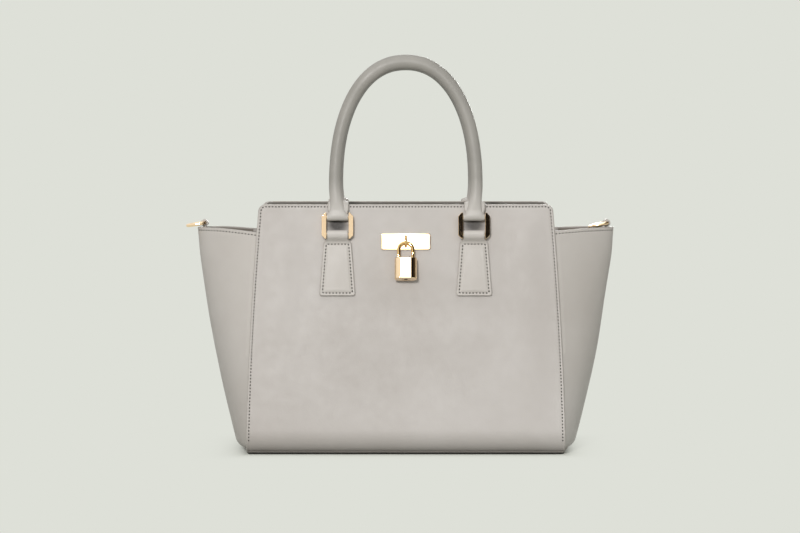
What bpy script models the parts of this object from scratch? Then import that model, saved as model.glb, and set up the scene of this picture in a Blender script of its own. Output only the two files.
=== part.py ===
"""Winged leather tote bag: stiff panels, gusset wings, ringed handles and a small padlock.

Metres, +Z up. The origin is on the floor under the middle of the base, and the front faces -Y.
"""

import math

import bmesh
import bpy
from mathutils import Matrix, Vector

# Sheets
PANEL_LEATHER = 0.0020
WING_LEATHER = 0.0016
STIFFENER = 0.0016
FACING_LEATHER = 0.0014
LINING = 0.0008
BASE_LEATHER = 0.0020
BASE_BOARD = 0.0025
GAP = 0.0003

# Outline of the body
BODY_HEIGHT = 0.237
BASE_HALF_WIDTH = 0.152
BASE_HALF_DEPTH = 0.075
TOP_HALF_DEPTH = 0.042
BOTTOM_ROLL = 0.020
PANEL_TAPER = 0.0035
PANEL_BOW = 0.0081
PANEL_CORNER = 0.0065
FACING_HEIGHT = 0.038
STIFFENER_END = 0.005
BASE_INSET = 0.005

# Wings
WING_DROP = 0.0235
WING_BASE_BULGE = 0.010
WING_SPREAD = 0.0494
WING_BOW = 0.0044
WING_ROLL = 0.008
WING_SEAM = 0.010
WING_FULLNESS_BASE = 2.5
WING_FULLNESS_TOP = 1.6
WING_LINING_DROP = 0.001

# Handles
HANDLE_SPAN = 0.1346
HANDLE_RISE = 0.1483
HANDLE_SHOULDER = 0.031
HANDLE_SQUARENESS = 2.2
HANDLE_END_DIAMETER = 0.0128
HANDLE_MIDDLE_DIAMETER = 0.0144
HANDLE_LEAN = math.radians(5.0)
LOOP_WIDTH = 0.0202
LOOP_WALL = 0.0014

# Rings that carry the handles
RING_SPACING = 0.1302
RING_WIDTH = 0.0303
RING_HEIGHT = 0.0250
RING_PITCH = 0.0163
RING_BAR = 0.0035
RING_SIDE_WIDTH = 0.0046
RING_SIDE_DEPTH = 0.0040
RING_CUT = 0.0032
RING_CUT_HEIGHT = 0.0034
RING_BEVEL = 0.0006
RING_DROP = 0.0296
RING_STANDOFF = 0.0048

# Tabs that hold the rings
TAB_TOP_WIDTH = 0.0265
TAB_BOTTOM_WIDTH = 0.0345
TAB_LENGTH = 0.0525
TAB_DROP = 0.0358
TAB_STRAP_WIDTH = 0.0182
TAB_STRAP_THICKNESS = 0.0018
TAB_THICKNESS = 0.0020
TAB_CORNER = 0.0025

# Lock plate and staple
PLATE_WIDTH = 0.0472
PLATE_HEIGHT = 0.0157
PLATE_THICKNESS = 0.0015
PLATE_CORNER = 0.0022
PLATE_DROP = 0.0362
STAPLE_WIRE = 0.0023
STAPLE_HEIGHT = 0.0093
STAPLE_REACH = 0.0080
BACKING_WIDTH = 0.030
BACKING_HEIGHT = 0.018
BACKING_THICKNESS = 0.0012

# Padlock
SHACKLE_WIRE = 0.0033
SHACKLE_WIDTH = 0.0169
SHACKLE_LENGTH = 0.0152
SHACKLE_HEEL_DEPTH = 0.0140
PADLOCK_TRAVEL = 0.0060
SHACKLE_TOE_CLEARANCE = 0.0005
SHACKLE_TOE_DEPTH = PADLOCK_TRAVEL - SHACKLE_TOE_CLEARANCE
PADLOCK_WIDTH = 0.0213
PADLOCK_HEIGHT = 0.0208
PADLOCK_THICKNESS = 0.0118
PADLOCK_SIDE_RADIUS = 0.0054
PADLOCK_EDGE = 0.0008
PLUG_DIAMETER = 0.0064
PLUG_DEPTH = 0.0050
KEYWAY_LENGTH = 0.0036
KEYWAY_WIDTH = 0.0011

# Side rings at the wing tips
SIDE_RING_WIRE = 0.0034
SIDE_RING_WIDTH = 0.0204
SIDE_RING_REACH = 0.0185
SIDE_RING_CORNER = 0.0025
SIDE_TAB_WIDTH = 0.0090
SIDE_TAB_LEATHER = 0.0016
SIDE_TAB_DEPTH = 0.0200
SIDE_RING_HEIGHT = 0.0038
LEFT_RING_DROOP = math.radians(9.0)
RIGHT_RING_DROOP = math.radians(15.0)

# Magnetic closure
SNAP_DIAMETER = 0.018
SNAP_EDGE = 0.0005
SNAP_THICKNESS = 0.0024
SNAP_DROP = 0.019
SNAP_NUB = 0.0085
SNAP_NUB_HEIGHT = 0.0014

# Steps along curved stretches
ROLL_STEPS = 6
WALL_STEPS = 6
CORNER_STEPS = 4
PADLOCK_SIDE_STEPS = 6
WING_COLUMNS = 20
WING_ROLL_STEPS = 4
WING_TURN_STEPS = 3
WING_ROWS = 6
ROUND_STEPS = 16
LOFT_SIDES = 12
ARCH_STEPS = 24

# Lean of the front and back panels, whose faces meet the bottom rolls tangentially
ROLL_CENTRE = BASE_HALF_DEPTH - BOTTOM_ROLL
_RUN = ROLL_CENTRE - TOP_HALF_DEPTH
_RISE = BODY_HEIGHT - BOTTOM_ROLL
LEAN = math.atan2(_RUN, _RISE) + math.asin(BOTTOM_ROLL / math.hypot(_RUN, _RISE))
FACE_LENGTH = math.sqrt(_RUN ** 2 + _RISE ** 2 - BOTTOM_ROLL ** 2)

# Depths of the layers behind the outer face of a panel
SEAM_DEPTH = PANEL_LEATHER + GAP
LINING_DEPTH = SEAM_DEPTH + max(WING_LEATHER, STIFFENER) + GAP
FACING_BACK = LINING_DEPTH + max(FACING_LEATHER, LINING)
WING_LINING_DEPTH = WING_LEATHER + 2 * GAP

WING_HEIGHT = BODY_HEIGHT - WING_DROP
WING_FLOOR = BASE_LEATHER + GAP


def srgb(red, green, blue):
    """Linear colour from display values of 0 to 255."""
    values = (red / 255, green / 255, blue / 255)
    linear = [v / 12.92 if v <= 0.04045 else ((v + 0.055) / 1.055) ** 2.4 for v in values]
    return (*linear, 1.0)


def material(name, colour, roughness, metallic=0.0):
    made = bpy.data.materials.new(name)
    made.use_nodes = True
    shader = made.node_tree.nodes["Principled BSDF"]
    shader.inputs["Base Color"].default_value = colour
    shader.inputs["Roughness"].default_value = roughness
    shader.inputs["Metallic"].default_value = metallic
    made.diffuse_color = colour
    return made


def clear_scene():
    for thing in list(bpy.data.objects):
        bpy.data.objects.remove(thing, do_unlink=True)


def collection(name):
    made = bpy.data.collections.new(name)
    bpy.context.scene.collection.children.link(made)
    return made


clear_scene()
BAG = collection("tote_bag")
CUTTERS = collection("cutters")
LEATHER = material("grey_leather", srgb(197, 192, 187), 0.55)
LINING_CLOTH = material("lining_cloth", srgb(176, 168, 158), 0.85)
BOARD = material("fibre_board", srgb(150, 138, 120), 0.9)
GOLD = material("pale_gold", srgb(228, 200, 152), 0.18, 1.0)
STEEL = material("dull_steel", srgb(150, 150, 148), 0.4, 1.0)


def link(name, mesh, look, matrix=Matrix()):
    """Add a piece at a place in the world."""
    piece = bpy.data.objects.new(name, mesh)
    mesh.materials.clear()
    mesh.materials.append(look)
    BAG.objects.link(piece)
    piece.matrix_basis = matrix
    return piece


class Pivot:
    """An empty on a joint's axis that carries the pieces that turn about it."""

    def __init__(self, name, matrix, parent=None):
        self.empty = bpy.data.objects.new(name, None)
        self.empty.empty_display_size = 0.01
        BAG.objects.link(self.empty)
        if parent is not None:
            self.empty.parent = parent.empty
            self.empty.matrix_parent_inverse = parent.matrix.inverted()
        self.empty.matrix_basis = matrix
        self.matrix = matrix

    def carry(self, name, mesh, look, matrix=None):
        piece = link(name, mesh, look, self.matrix if matrix is None else matrix)
        piece.parent = self.empty
        piece.matrix_parent_inverse = self.matrix.inverted()
        return piece


def mesh_of(maker):
    """Mesh of a temporary object after its curve settings and modifiers."""
    bpy.context.scene.collection.objects.link(maker)
    bpy.context.view_layer.update()
    depsgraph = bpy.context.evaluated_depsgraph_get()
    mesh = bpy.data.meshes.new_from_object(maker.evaluated_get(depsgraph))
    bpy.data.objects.remove(maker, do_unlink=True)
    shape = bmesh.new()
    shape.from_mesh(mesh)
    bmesh.ops.remove_doubles(shape, verts=shape.verts, dist=1e-6)
    bmesh.ops.recalc_face_normals(shape, faces=shape.faces)
    shape.to_mesh(mesh)
    shape.free()
    return mesh


def temporary(mesh):
    return bpy.data.objects.new("making", mesh)


def flat_outline(outlines, thickness):
    """Plate in the XY plane from closed outlines, the inner ones being holes."""
    curve = bpy.data.curves.new("outline", "CURVE")
    curve.dimensions = "2D"
    curve.fill_mode = "BOTH"
    curve.extrude = thickness / 2
    for points in outlines:
        spline = curve.splines.new("POLY")
        spline.points.add(len(points) - 1)
        for spot, (x, y) in zip(spline.points, points):
            spot.co = (x, y, 0, 1)
        spline.use_cyclic_u = True
    return mesh_of(temporary(curve))


def wire(points, diameter, closed=False, sides=10):
    """Round wire along points, with flat ends."""
    curve = bpy.data.curves.new("wire", "CURVE")
    curve.dimensions = "3D"
    curve.bevel_depth = diameter / 2
    curve.bevel_resolution = (sides - 4) // 2
    curve.use_fill_caps = not closed
    spline = curve.splines.new("POLY")
    spline.points.add(len(points) - 1)
    for spot, place in zip(spline.points, points):
        spot.co = (*place, 1)
    spline.use_cyclic_u = closed
    mesh = mesh_of(temporary(curve))
    mesh.shade_smooth()
    return mesh


def cylinder(diameter, length, matrix=Matrix(), sides=ROUND_STEPS):
    """Cylinder along its own Z, centred."""
    shape = bmesh.new()
    bmesh.ops.create_cone(shape, cap_ends=True, segments=sides, radius1=diameter / 2,
                          radius2=diameter / 2, depth=length, matrix=matrix)
    mesh = bpy.data.meshes.new("cylinder")
    shape.to_mesh(mesh)
    shape.free()
    return mesh


def box(size, matrix=Matrix()):
    shape = bmesh.new()
    scale = Matrix.Diagonal((*size, 1))
    bmesh.ops.create_cube(shape, size=1, matrix=matrix @ scale)
    mesh = bpy.data.meshes.new("box")
    shape.to_mesh(mesh)
    shape.free()
    return mesh


def combine(mesh, others, operation):
    """Mesh joined with, or cut by, other meshes in the same space."""
    maker = temporary(mesh)
    helpers = []
    for other in others:
        helper = bpy.data.objects.new("helper", other)
        helper.hide_render = True
        helper.display_type = "WIRE"
        CUTTERS.objects.link(helper)
        helpers.append(helper)
        step = maker.modifiers.new("step", "BOOLEAN")
        step.operation = operation
        step.object = helper
        step.solver = "EXACT"
    result = mesh_of(maker)
    for helper in helpers:
        bpy.data.objects.remove(helper, do_unlink=True)
    return result


def bevelled(mesh, width, segments=1):
    maker = temporary(mesh)
    step = maker.modifiers.new("edge", "BEVEL")
    step.width = width
    step.segments = segments
    step.limit_method = "ANGLE"
    step.angle_limit = math.radians(40)
    return mesh_of(maker)


def sheet(rows, thickness):
    """Closed sheet: an open grid of points on its outer side, thickened inward."""
    shape = bmesh.new()
    grid = [[shape.verts.new(point) for point in row] for row in rows]
    for lower, upper in zip(grid, grid[1:]):
        for k in range(len(lower) - 1):
            shape.faces.new((lower[k], lower[k + 1], upper[k + 1], upper[k]))
    bmesh.ops.remove_doubles(shape, verts=shape.verts, dist=1e-6)
    mesh = bpy.data.meshes.new("sheet")
    shape.to_mesh(mesh)
    shape.free()
    maker = temporary(mesh)
    step = maker.modifiers.new("thickness", "SOLIDIFY")
    step.thickness = thickness
    step.offset = -1
    step.use_even_offset = True
    step.use_quality_normals = True
    return mesh_of(maker)


def arc(centre, radius, start, end, steps):
    """Points of an arc in a plane, angles in radians, both ends included."""
    angles = [start + (end - start) * k / steps for k in range(steps + 1)]
    return [(centre[0] + radius * math.cos(a), centre[1] + radius * math.sin(a)) for a in angles]


def rounded_rectangle(width, height, radius, steps=CORNER_STEPS):
    return rounded_trapezoid(width, width, height, radius, steps)


def rounded_trapezoid(top, bottom, height, radius, steps=CORNER_STEPS):
    """Outline symmetric about the second axis, with its four corners rounded alike."""
    corners = [(bottom / 2, -height / 2), (top / 2, height / 2),
               (-top / 2, height / 2), (-bottom / 2, -height / 2)]
    outline = []
    for k, corner in enumerate(corners):
        here = Vector(corner)
        before = (Vector(corners[k - 1]) - here).normalized()
        after = (Vector(corners[(k + 1) % 4]) - here).normalized()
        half = before.angle(after) / 2
        centre = here + (before + after).normalized() * radius / math.sin(half)
        first = here + before * radius / math.tan(half) - centre
        turn = math.pi - 2 * half
        for step in range(steps + 1):
            outline.append(tuple(centre + Matrix.Rotation(turn * step / steps, 2) @ first))
    return outline


def panel_half_width(z):
    """Half width of the front and back panels at a height."""
    share = z / BODY_HEIGHT
    return BASE_HALF_WIDTH - PANEL_TAPER * share - PANEL_BOW * share ** 2


def wall_y(z, depth):
    """Distance from the middle plane to a panel's layer at a height."""
    radius = BOTTOM_ROLL - depth
    if z > BOTTOM_ROLL + radius * math.sin(LEAN):
        face = TOP_HALF_DEPTH + (BODY_HEIGHT - z) * math.tan(LEAN)
        return face - depth / math.cos(LEAN)
    reach = radius ** 2 - (BOTTOM_ROLL - z) ** 2
    return ROLL_CENTRE + math.sqrt(max(0.0, reach))


def face_spot(drop, depth):
    """Distance from the middle plane and height of a spot on a panel's straight stretch."""
    y = TOP_HALF_DEPTH + drop * math.sin(LEAN) - depth * math.cos(LEAN)
    z = BODY_HEIGHT - drop * math.cos(LEAN) - depth * math.sin(LEAN)
    return y, z


def roll_spot(angle, depth):
    """Distance from the middle plane and height of a spot on a panel's bottom roll."""
    radius = BOTTOM_ROLL - depth
    return ROLL_CENTRE + radius * math.sin(angle), BOTTOM_ROLL - radius * math.cos(angle)


def side_turn(side):
    return Matrix.Rotation(math.pi if side == "back" else 0.0, 4, "Z")


def face_frame(side, x, drop, standoff=0.0):
    """Frame on a panel's outer face: X across, Y inward, Z up along the face."""
    y, z = face_spot(drop, -standoff)
    place = Matrix.Translation((x, -y, z)) @ Matrix.Rotation(-LEAN, 4, "X")
    return side_turn(side) @ place


def wall_sheet(depth, thickness, half_width, low_drop, high_drop, corner=0.0, rolled=False):
    """Layer of the front wall, square cut at its top, with its top corners rounded."""
    spots = []
    if rolled:
        whole = math.pi / 2 + LEAN
        spots += [roll_spot(whole * k / ROLL_STEPS, depth) for k in range(ROLL_STEPS)]
        low_drop = FACE_LENGTH
    high = high_drop + corner
    drops = [low_drop + (high - low_drop) * k / WALL_STEPS for k in range(WALL_STEPS + 1)]
    spots += [face_spot(drop, depth) for drop in drops]
    if corner:
        quarter = [math.pi / 2 * k / CORNER_STEPS for k in range(CORNER_STEPS + 1)]
        columns = [(-1, angle) for angle in reversed(quarter)] + [(1, angle) for angle in quarter]
    else:
        columns = [(-1, math.pi / 2), (1, math.pi / 2)]
    rows = []
    for y, z in spots:
        half = half_width(z)
        rows.append([(side * (half - corner + corner * math.sin(a)), -y, z) for side, a in columns])
    if corner:
        last = []
        for side, a in columns:
            y, z = face_spot(high_drop + corner * (1 - math.cos(a)), depth)
            half = half_width(z)
            last.append((side * (half - corner + corner * math.sin(a)), -y, z))
        rows.append(last)
    return sheet(rows, thickness)


def crease_x(z):
    """Distance of the wing's outer crease from the middle at a height."""
    share = z / WING_HEIGHT
    straight = BASE_HALF_WIDTH + WING_BASE_BULGE + (WING_SPREAD - WING_BASE_BULGE) * share
    return straight + 4 * WING_BOW * share * (1 - share)


def wing_spot(v, w):
    """Point on the right wing's outer side: v from front seam to back seam, w from floor to top."""
    if w <= 1:
        angle = math.pi / 2 * w
        z = WING_FLOOR + WING_ROLL * (1 - math.cos(angle))
        inset = WING_ROLL * (1 - math.sin(angle))
    else:
        start = WING_FLOOR + WING_ROLL
        z = start + (WING_HEIGHT - start) * (w - 1)
        inset = 0.0
    share = z / WING_HEIGHT
    fullness = WING_FULLNESS_BASE + (WING_FULLNESS_TOP - WING_FULLNESS_BASE) * share
    seam = panel_half_width(z)
    x = seam + (crease_x(z) - seam) * (1 - abs(v) ** fullness) - inset
    return Vector((x, v * wall_y(z, SEAM_DEPTH), z))


def wing_inside(v, w, depth):
    """Point at a depth behind the right wing's outer side."""
    small = 1e-4
    along = wing_spot(min(v + small, 1), w) - wing_spot(max(v - small, -1), w)
    up = wing_spot(v, min(w + small, 2)) - wing_spot(v, max(w - small, 0))
    return wing_spot(v, w) - along.cross(up).normalized() * depth


def wing_levels(top):
    """Levels up a wing: its own roll, the rest of the panels' bottom roll, then the straight."""
    start = WING_FLOOR + WING_ROLL
    tangent = BOTTOM_ROLL + (BOTTOM_ROLL - SEAM_DEPTH) * math.sin(LEAN)
    bend = (tangent - start) / (WING_HEIGHT - start)
    rolled = [k / WING_ROLL_STEPS for k in range(WING_ROLL_STEPS)]
    turning = [1 + bend * k / WING_TURN_STEPS for k in range(WING_TURN_STEPS)]
    return rolled + turning + [1 + bend + (top - bend) * k / WING_ROWS for k in range(WING_ROWS + 1)]


def wing_columns(limit=1.0):
    """Columns across a wing, closer together near the crease."""
    shares = [2 * k / WING_COLUMNS - 1 for k in range(WING_COLUMNS + 1)]
    columns = [share * abs(share) ** 0.35 for share in shares]
    return [-limit] + [max(-limit, min(limit, v)) for v in columns[1:-1]] + [limit]


def wing_leather():
    """Right wing with the seam allowances that lie behind the two panels."""
    rows = []
    for w in wing_levels(1.0):
        row = [wing_spot(v, w) for v in wing_columns()]
        z = row[0].z
        inner = panel_half_width(z) - WING_SEAM
        y = wall_y(z, SEAM_DEPTH)
        rows.append([Vector((inner, -y, z))] + row + [Vector((inner, y, z))])
    return sheet(rows, WING_LEATHER)


def wing_lining():
    top = 1 - WING_LINING_DROP / (WING_HEIGHT - WING_FLOOR - WING_ROLL)
    rows = []
    for w in wing_levels(top):
        z = wing_spot(0, w).z
        clear = wall_y(z, FACING_BACK + GAP) - GAP
        limit = clear / wall_y(z, SEAM_DEPTH)
        rows.append([wing_inside(v, w, WING_LINING_DEPTH) for v in wing_columns(limit)])
    return sheet(rows, LINING)


def lining_half_width(z):
    """Half width of the front and back linings, which stop clear of the wings."""
    clear = WING_LEATHER + 2 * GAP
    inset = SEAM_DEPTH + WING_LEATHER
    rise = WING_FLOOR + WING_ROLL - z
    if rise > 0:
        reach = max(0.0, (WING_ROLL - clear) ** 2 - rise ** 2)
        inset = max(inset, WING_ROLL - math.sqrt(reach))
    return panel_half_width(z) - inset


def base_outline(half_depth, end_inset):
    """Outline of a base layer, with ends that follow the wings."""
    steps = 12
    end = []
    for k in range(steps + 1):
        y = half_depth * (2 * k / steps - 1)
        spot = wing_spot(y / ROLL_CENTRE, 0)
        end.append((spot.x + WING_ROLL - end_inset, y))
    return end + [(-x, -y) for x, y in end]


def base_layer(bottom, thickness, half_depth, end_inset):
    mesh = flat_outline([base_outline(half_depth, end_inset)], thickness)
    return mesh, Matrix.Translation((0, 0, bottom + thickness / 2))


def on_edge(matrix):
    """Turn a plate made in the XY plane to stand across Y, its second axis pointing up."""
    return matrix @ Matrix.Rotation(math.pi / 2, 4, "X")


def along_x(x=0.0, y=0.0, z=0.0):
    return Matrix.Translation((x, y, z)) @ Matrix.Rotation(math.pi / 2, 4, "Y")


def along_y(x=0.0, y=0.0, z=0.0):
    return Matrix.Translation((x, y, z)) @ Matrix.Rotation(math.pi / 2, 4, "X")


def staple_holes(side):
    """Cutters for the two staple legs, in world space."""
    frame = face_frame(side, 0, PLATE_DROP)
    length = 4 * (SEAM_DEPTH + BACKING_THICKNESS + PLATE_THICKNESS)
    cutters = []
    for end in (-1, 1):
        place = frame @ along_y(0, 0, end * STAPLE_HEIGHT / 2)
        cutters.append(cylinder(STAPLE_WIRE + 2 * GAP, length, place, 12))
    return cutters


def stiffener_half_width(z):
    """Half width of the stiffeners, which stop clear of the wings' seam allowances."""
    return panel_half_width(z) - WING_SEAM - GAP


def make_walls():
    for side in ("front", "back"):
        turn = side_turn(side)
        panel = wall_sheet(0, PANEL_LEATHER, panel_half_width, 0, 0, PANEL_CORNER, True)
        stiff_low = FACE_LENGTH - STIFFENER_END
        stiff = wall_sheet(SEAM_DEPTH, STIFFENER, stiffener_half_width, stiff_low, 0)
        if side == "front":
            panel = combine(panel, staple_holes(side), "DIFFERENCE")
            window = box((BACKING_WIDTH + 2 * GAP, 4 * STIFFENER, BACKING_HEIGHT + 2 * GAP),
                         face_frame(side, 0, PLATE_DROP, -SEAM_DEPTH))
            stiff = combine(stiff, [window], "DIFFERENCE")
        link(side + "_panel", panel, LEATHER, turn)
        link(side + "_stiffener", stiff, BOARD, turn)
        facing = wall_sheet(LINING_DEPTH, FACING_LEATHER, lining_half_width,
                            FACING_HEIGHT, 0, PANEL_CORNER / 2)
        link(side + "_facing", facing, LEATHER, turn)
        lining = wall_sheet(LINING_DEPTH, LINING, lining_half_width,
                            0, FACING_HEIGHT + GAP, 0, True)
        link(side + "_lining", lining, LINING_CLOTH, turn)


def make_wings():
    for side, turn in (("right", Matrix()), ("left", Matrix.Rotation(math.pi, 4, "Z"))):
        link(side + "_wing", wing_leather(), LEATHER, turn)
        link(side + "_wing_lining", wing_lining(), LINING_CLOTH, turn)


def make_base():
    mesh, place = base_layer(0, BASE_LEATHER, ROLL_CENTRE - GAP, BASE_INSET)
    link("base_leather", mesh, LEATHER, place)
    mesh, place = base_layer(WING_FLOOR, BASE_BOARD, ROLL_CENTRE - 3 * GAP, WING_ROLL + GAP)
    link("base_board", mesh, BOARD, place)
    below = (LINING_DEPTH + LINING, WING_FLOOR + BASE_BOARD, WING_FLOOR + WING_LINING_DEPTH + LINING)
    low = max(below) + GAP
    mesh, place = base_layer(low, LINING, ROLL_CENTRE - GAP, WING_ROLL)
    link("base_lining", mesh, LINING_CLOTH, place)


def ring_mesh():
    """Handle ring with its origin on the lower bar.

    Two round bars join two faceted side bars, whose outer corners are cut off.
    """
    half = RING_WIDTH / 2 - RING_SIDE_WIDTH / 2
    width, height, cut, rise = RING_SIDE_WIDTH / 2, RING_HEIGHT / 2, RING_CUT, RING_CUT_HEIGHT
    corners = [(-width, -height), (width - cut, -height), (width, rise - height),
               (width, height - rise), (width - cut, height), (-width, height)]
    sides = []
    for sign in (-1, 1):
        outline = [(sign * x, z) for x, z in corners]
        bar = bevelled(flat_outline([outline], RING_SIDE_DEPTH), RING_BEVEL)
        bar.transform(on_edge(Matrix.Translation((sign * half, 0, RING_PITCH / 2))))
        sides.append(bar)
    bars = [cylinder(RING_BAR, 2 * half + RING_SIDE_WIDTH / 2, along_x(z=z), 12)
            for z in (0, RING_PITCH)]
    return combine(sides[0], bars + [sides[1]], "UNION")


def tab_mesh():
    """Stitched patch on the panel with a strap that loops round the ring's lower bar.

    The origin is on the panel's face at the patch's top edge.
    """
    patch = flat_outline([rounded_trapezoid(TAB_TOP_WIDTH, TAB_BOTTOM_WIDTH, TAB_LENGTH,
                                            TAB_CORNER)], TAB_THICKNESS)
    depth = GAP + TAB_THICKNESS / 2
    patch.transform(on_edge(Matrix.Translation((0, -depth, -TAB_LENGTH / 2))))
    rise = TAB_DROP - RING_DROP
    inner = RING_BAR / 2 + GAP
    outer = inner + TAB_STRAP_THICKNESS
    middle = (RING_STANDOFF, rise)
    root = -TAB_THICKNESS * 2.5
    inside = TAB_THICKNESS / 4
    outline = [(GAP + TAB_THICKNESS - inside, root), (GAP + TAB_THICKNESS, -TAB_THICKNESS / 2),
               (RING_STANDOFF + outer * 0.62, rise - outer * 0.95)]
    outline += arc(middle, outer, -0.25, math.pi, 8)
    outline += [(GAP + inside, root)]
    hole = arc(middle, inner, 0, 2 * math.pi * 11 / 12, 11)
    strap = flat_outline([outline, hole], TAB_STRAP_WIDTH)
    # The strap's profile is drawn with outward first and up second
    turn = Matrix(((0, 0, 1, 0), (-1, 0, 0, 0), (0, 1, 0, 0), (0, 0, 0, 1)))
    strap.transform(turn)
    return combine(patch, [strap], "UNION")


def handle_section(centre, across, through, half_width, half_depth, squareness):
    """Ring of points round the handle's middle line."""
    points = []
    for k in range(LOFT_SIDES):
        a = 2 * math.pi * (k + 0.5) / LOFT_SIDES
        c, s = math.cos(a), math.sin(a)
        u = math.copysign(abs(c) ** (2 / squareness), c) * half_width
        v = math.copysign(abs(s) ** (2 / squareness), s) * half_depth
        points.append(centre + across * u + through * v)
    return points


def handle_stations():
    """Left half of the handle from its loop to the top: place, direction and section."""
    loop = RING_BAR / 2 + GAP + LOOP_WALL
    wide = LOOP_WIDTH / 2
    end = HANDLE_END_DIAMETER / 2
    spread = HANDLE_SPAN / 2
    start = RING_SPACING / 2
    stations = []
    up = Vector((0, 0, 1))
    for angle in (1.35, 0.9, 0.45):
        spot = Vector((-start, 0, -loop * math.sin(angle)))
        stations.append((spot, up, wide * (0.94 + 0.06 * math.cos(angle)), loop * math.cos(angle), 4))
    legs = ((0, wide, loop, 4), (0.26, wide * 1.02, loop, 4), (0.42, wide * 1.03, loop * 1.1, 3.4),
            (0.52, wide * 0.92, loop * 1.3, 2.8), (0.62, end * 1.12, end * 0.93, 2.2))
    for share, width, depth, squareness in legs:
        ease = share ** 2 * (3 - 2 * share)
        x = -(start + (spread - start) * ease)
        stations.append((Vector((x, 0, HANDLE_SHOULDER * share)), up, width, depth, squareness))
    rise = HANDLE_RISE - HANDLE_SHOULDER
    half = ARCH_STEPS // 2
    for k in range(half + 1):
        a = math.pi / 2 * k / half
        power = 2 / HANDLE_SQUARENESS
        x = -spread * max(math.cos(a), 0.0) ** power
        z = HANDLE_SHOULDER + rise * math.sin(a) ** power
        swell = HANDLE_END_DIAMETER + (HANDLE_MIDDLE_DIAMETER - HANDLE_END_DIAMETER) * math.sin(a)
        if k == 0:
            way = up
        elif k == half:
            way = Vector((1, 0, 0))
        else:
            inner = abs(x / spread) ** (HANDLE_SQUARENESS - 1) / spread
            outer = ((z - HANDLE_SHOULDER) / rise) ** (HANDLE_SQUARENESS - 1) / rise
            way = Vector((outer, 0, inner)).normalized()
        stations.append((Vector((x, 0, z)), way, swell / 2, swell / 2, 2))
    return stations


def handle_mesh():
    """Rolled handle whose flattened ends loop round the top bars of its rings.

    The origin is on the line of the two top bars, halfway between them.
    """
    left = handle_stations()
    right = [(Vector((-p.x, 0, p.z)), Vector((w.x, 0, -w.z)), a, b, q)
             for p, w, a, b, q in reversed(left[:-1])]
    through = Vector((0, 1, 0))
    shape = bmesh.new()
    rings = []
    for spot, way, width, depth, squareness in left + right:
        across = through.cross(way)
        points = handle_section(spot, across, through, width, depth, squareness)
        rings.append([shape.verts.new(point) for point in points])
    for first, second in zip(rings, rings[1:]):
        for k in range(LOFT_SIDES):
            after = (k + 1) % LOFT_SIDES
            shape.faces.new((first[k], first[after], second[after], second[k]))
    shape.faces.new(list(reversed(rings[0])))
    shape.faces.new(rings[-1])
    bmesh.ops.recalc_face_normals(shape, faces=shape.faces)
    mesh = bpy.data.meshes.new("handle")
    shape.to_mesh(mesh)
    shape.free()
    bores = [cylinder(RING_BAR + 2 * GAP, LOOP_WIDTH * 2, along_x(sign * RING_SPACING / 2), 12)
             for sign in (-1, 1)]
    mesh = combine(mesh, bores, "DIFFERENCE")
    mesh.shade_smooth()
    return mesh


def make_handles():
    for side in ("front", "back"):
        lower = face_frame(side, 0, RING_DROP, RING_STANDOFF)
        ring_pivot = Pivot(side + "_ring_axis", lower)
        for name, x in (("left", -RING_SPACING / 2), ("right", RING_SPACING / 2)):
            across = x if side == "front" else -x
            tab = face_frame(side, across, TAB_DROP)
            link(side + "_" + name + "_tab", tab_mesh(), LEATHER, tab)
            ring = face_frame(side, across, RING_DROP, RING_STANDOFF)
            ring_pivot.carry(side + "_" + name + "_ring", ring_mesh(), GOLD, ring)
        top = lower @ Matrix.Translation((0, 0, RING_PITCH))
        upright = top @ Matrix.Rotation(LEAN - HANDLE_LEAN, 4, "X")
        handle_pivot = Pivot(side + "_handle_axis", upright, ring_pivot)
        handle_pivot.carry(side + "_handle", handle_mesh(), LEATHER)


def make_lock_plate():
    """Plate on the front panel, the wire staple through it and the backing behind the leather."""
    plate = flat_outline([rounded_rectangle(PLATE_WIDTH, PLATE_HEIGHT, PLATE_CORNER)],
                         PLATE_THICKNESS)
    plate = bevelled(plate, PLATE_THICKNESS / 6)
    frame = face_frame("front", 0, PLATE_DROP)
    place = on_edge(frame @ Matrix.Translation((0, -GAP - PLATE_THICKNESS / 2, 0)))
    plate.transform(place)
    plate = combine(plate, staple_holes("front"), "DIFFERENCE")
    link("lock_plate", plate, GOLD)
    back = flat_outline([rounded_rectangle(BACKING_WIDTH, BACKING_HEIGHT, PLATE_CORNER)],
                        BACKING_THICKNESS)
    back_depth = SEAM_DEPTH + BACKING_THICKNESS / 2
    back.transform(on_edge(frame @ Matrix.Translation((0, back_depth, 0))))
    back = combine(back, staple_holes("front"), "DIFFERENCE")
    link("lock_backing_plate", back, STEEL)
    reach = GAP + PLATE_THICKNESS + STAPLE_REACH - STAPLE_WIRE / 2
    bend = STAPLE_HEIGHT / 2
    inner_end = SEAM_DEPTH + BACKING_THICKNESS
    outline = [(inner_end, -bend)] + [(-(reach - bend) - bend * math.sin(a), -bend * math.cos(a))
                                      for a in [math.pi * k / 8 for k in range(9)]]
    outline.append((inner_end, bend))
    link("lock_staple", wire([(0, y, z) for y, z in outline], STAPLE_WIRE), GOLD, frame)


def shackle_axis_frame():
    """Frame on the line that the shackle hangs from, Z up along the padlock at rest."""
    wire_radius = SHACKLE_WIRE / 2
    standoff = GAP + PLATE_THICKNESS + GAP + wire_radius
    lift = -STAPLE_HEIGHT / 2 + STAPLE_WIRE / 2 + GAP + wire_radius
    half = PADLOCK_THICKNESS / 2
    touch = standoff - GAP
    frame = face_frame("front", 0, PLATE_DROP - lift, standoff)
    return frame @ Matrix.Rotation(-padlock_tilt(half, touch), 4, "X")


def padlock_tilt(half, touch):
    """Angle to the panel at which the body's upper back edge rests on the leather."""
    slant = math.hypot(SHACKLE_LENGTH, half)
    return math.atan2(half, SHACKLE_LENGTH) - math.asin(touch / slant)


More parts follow.
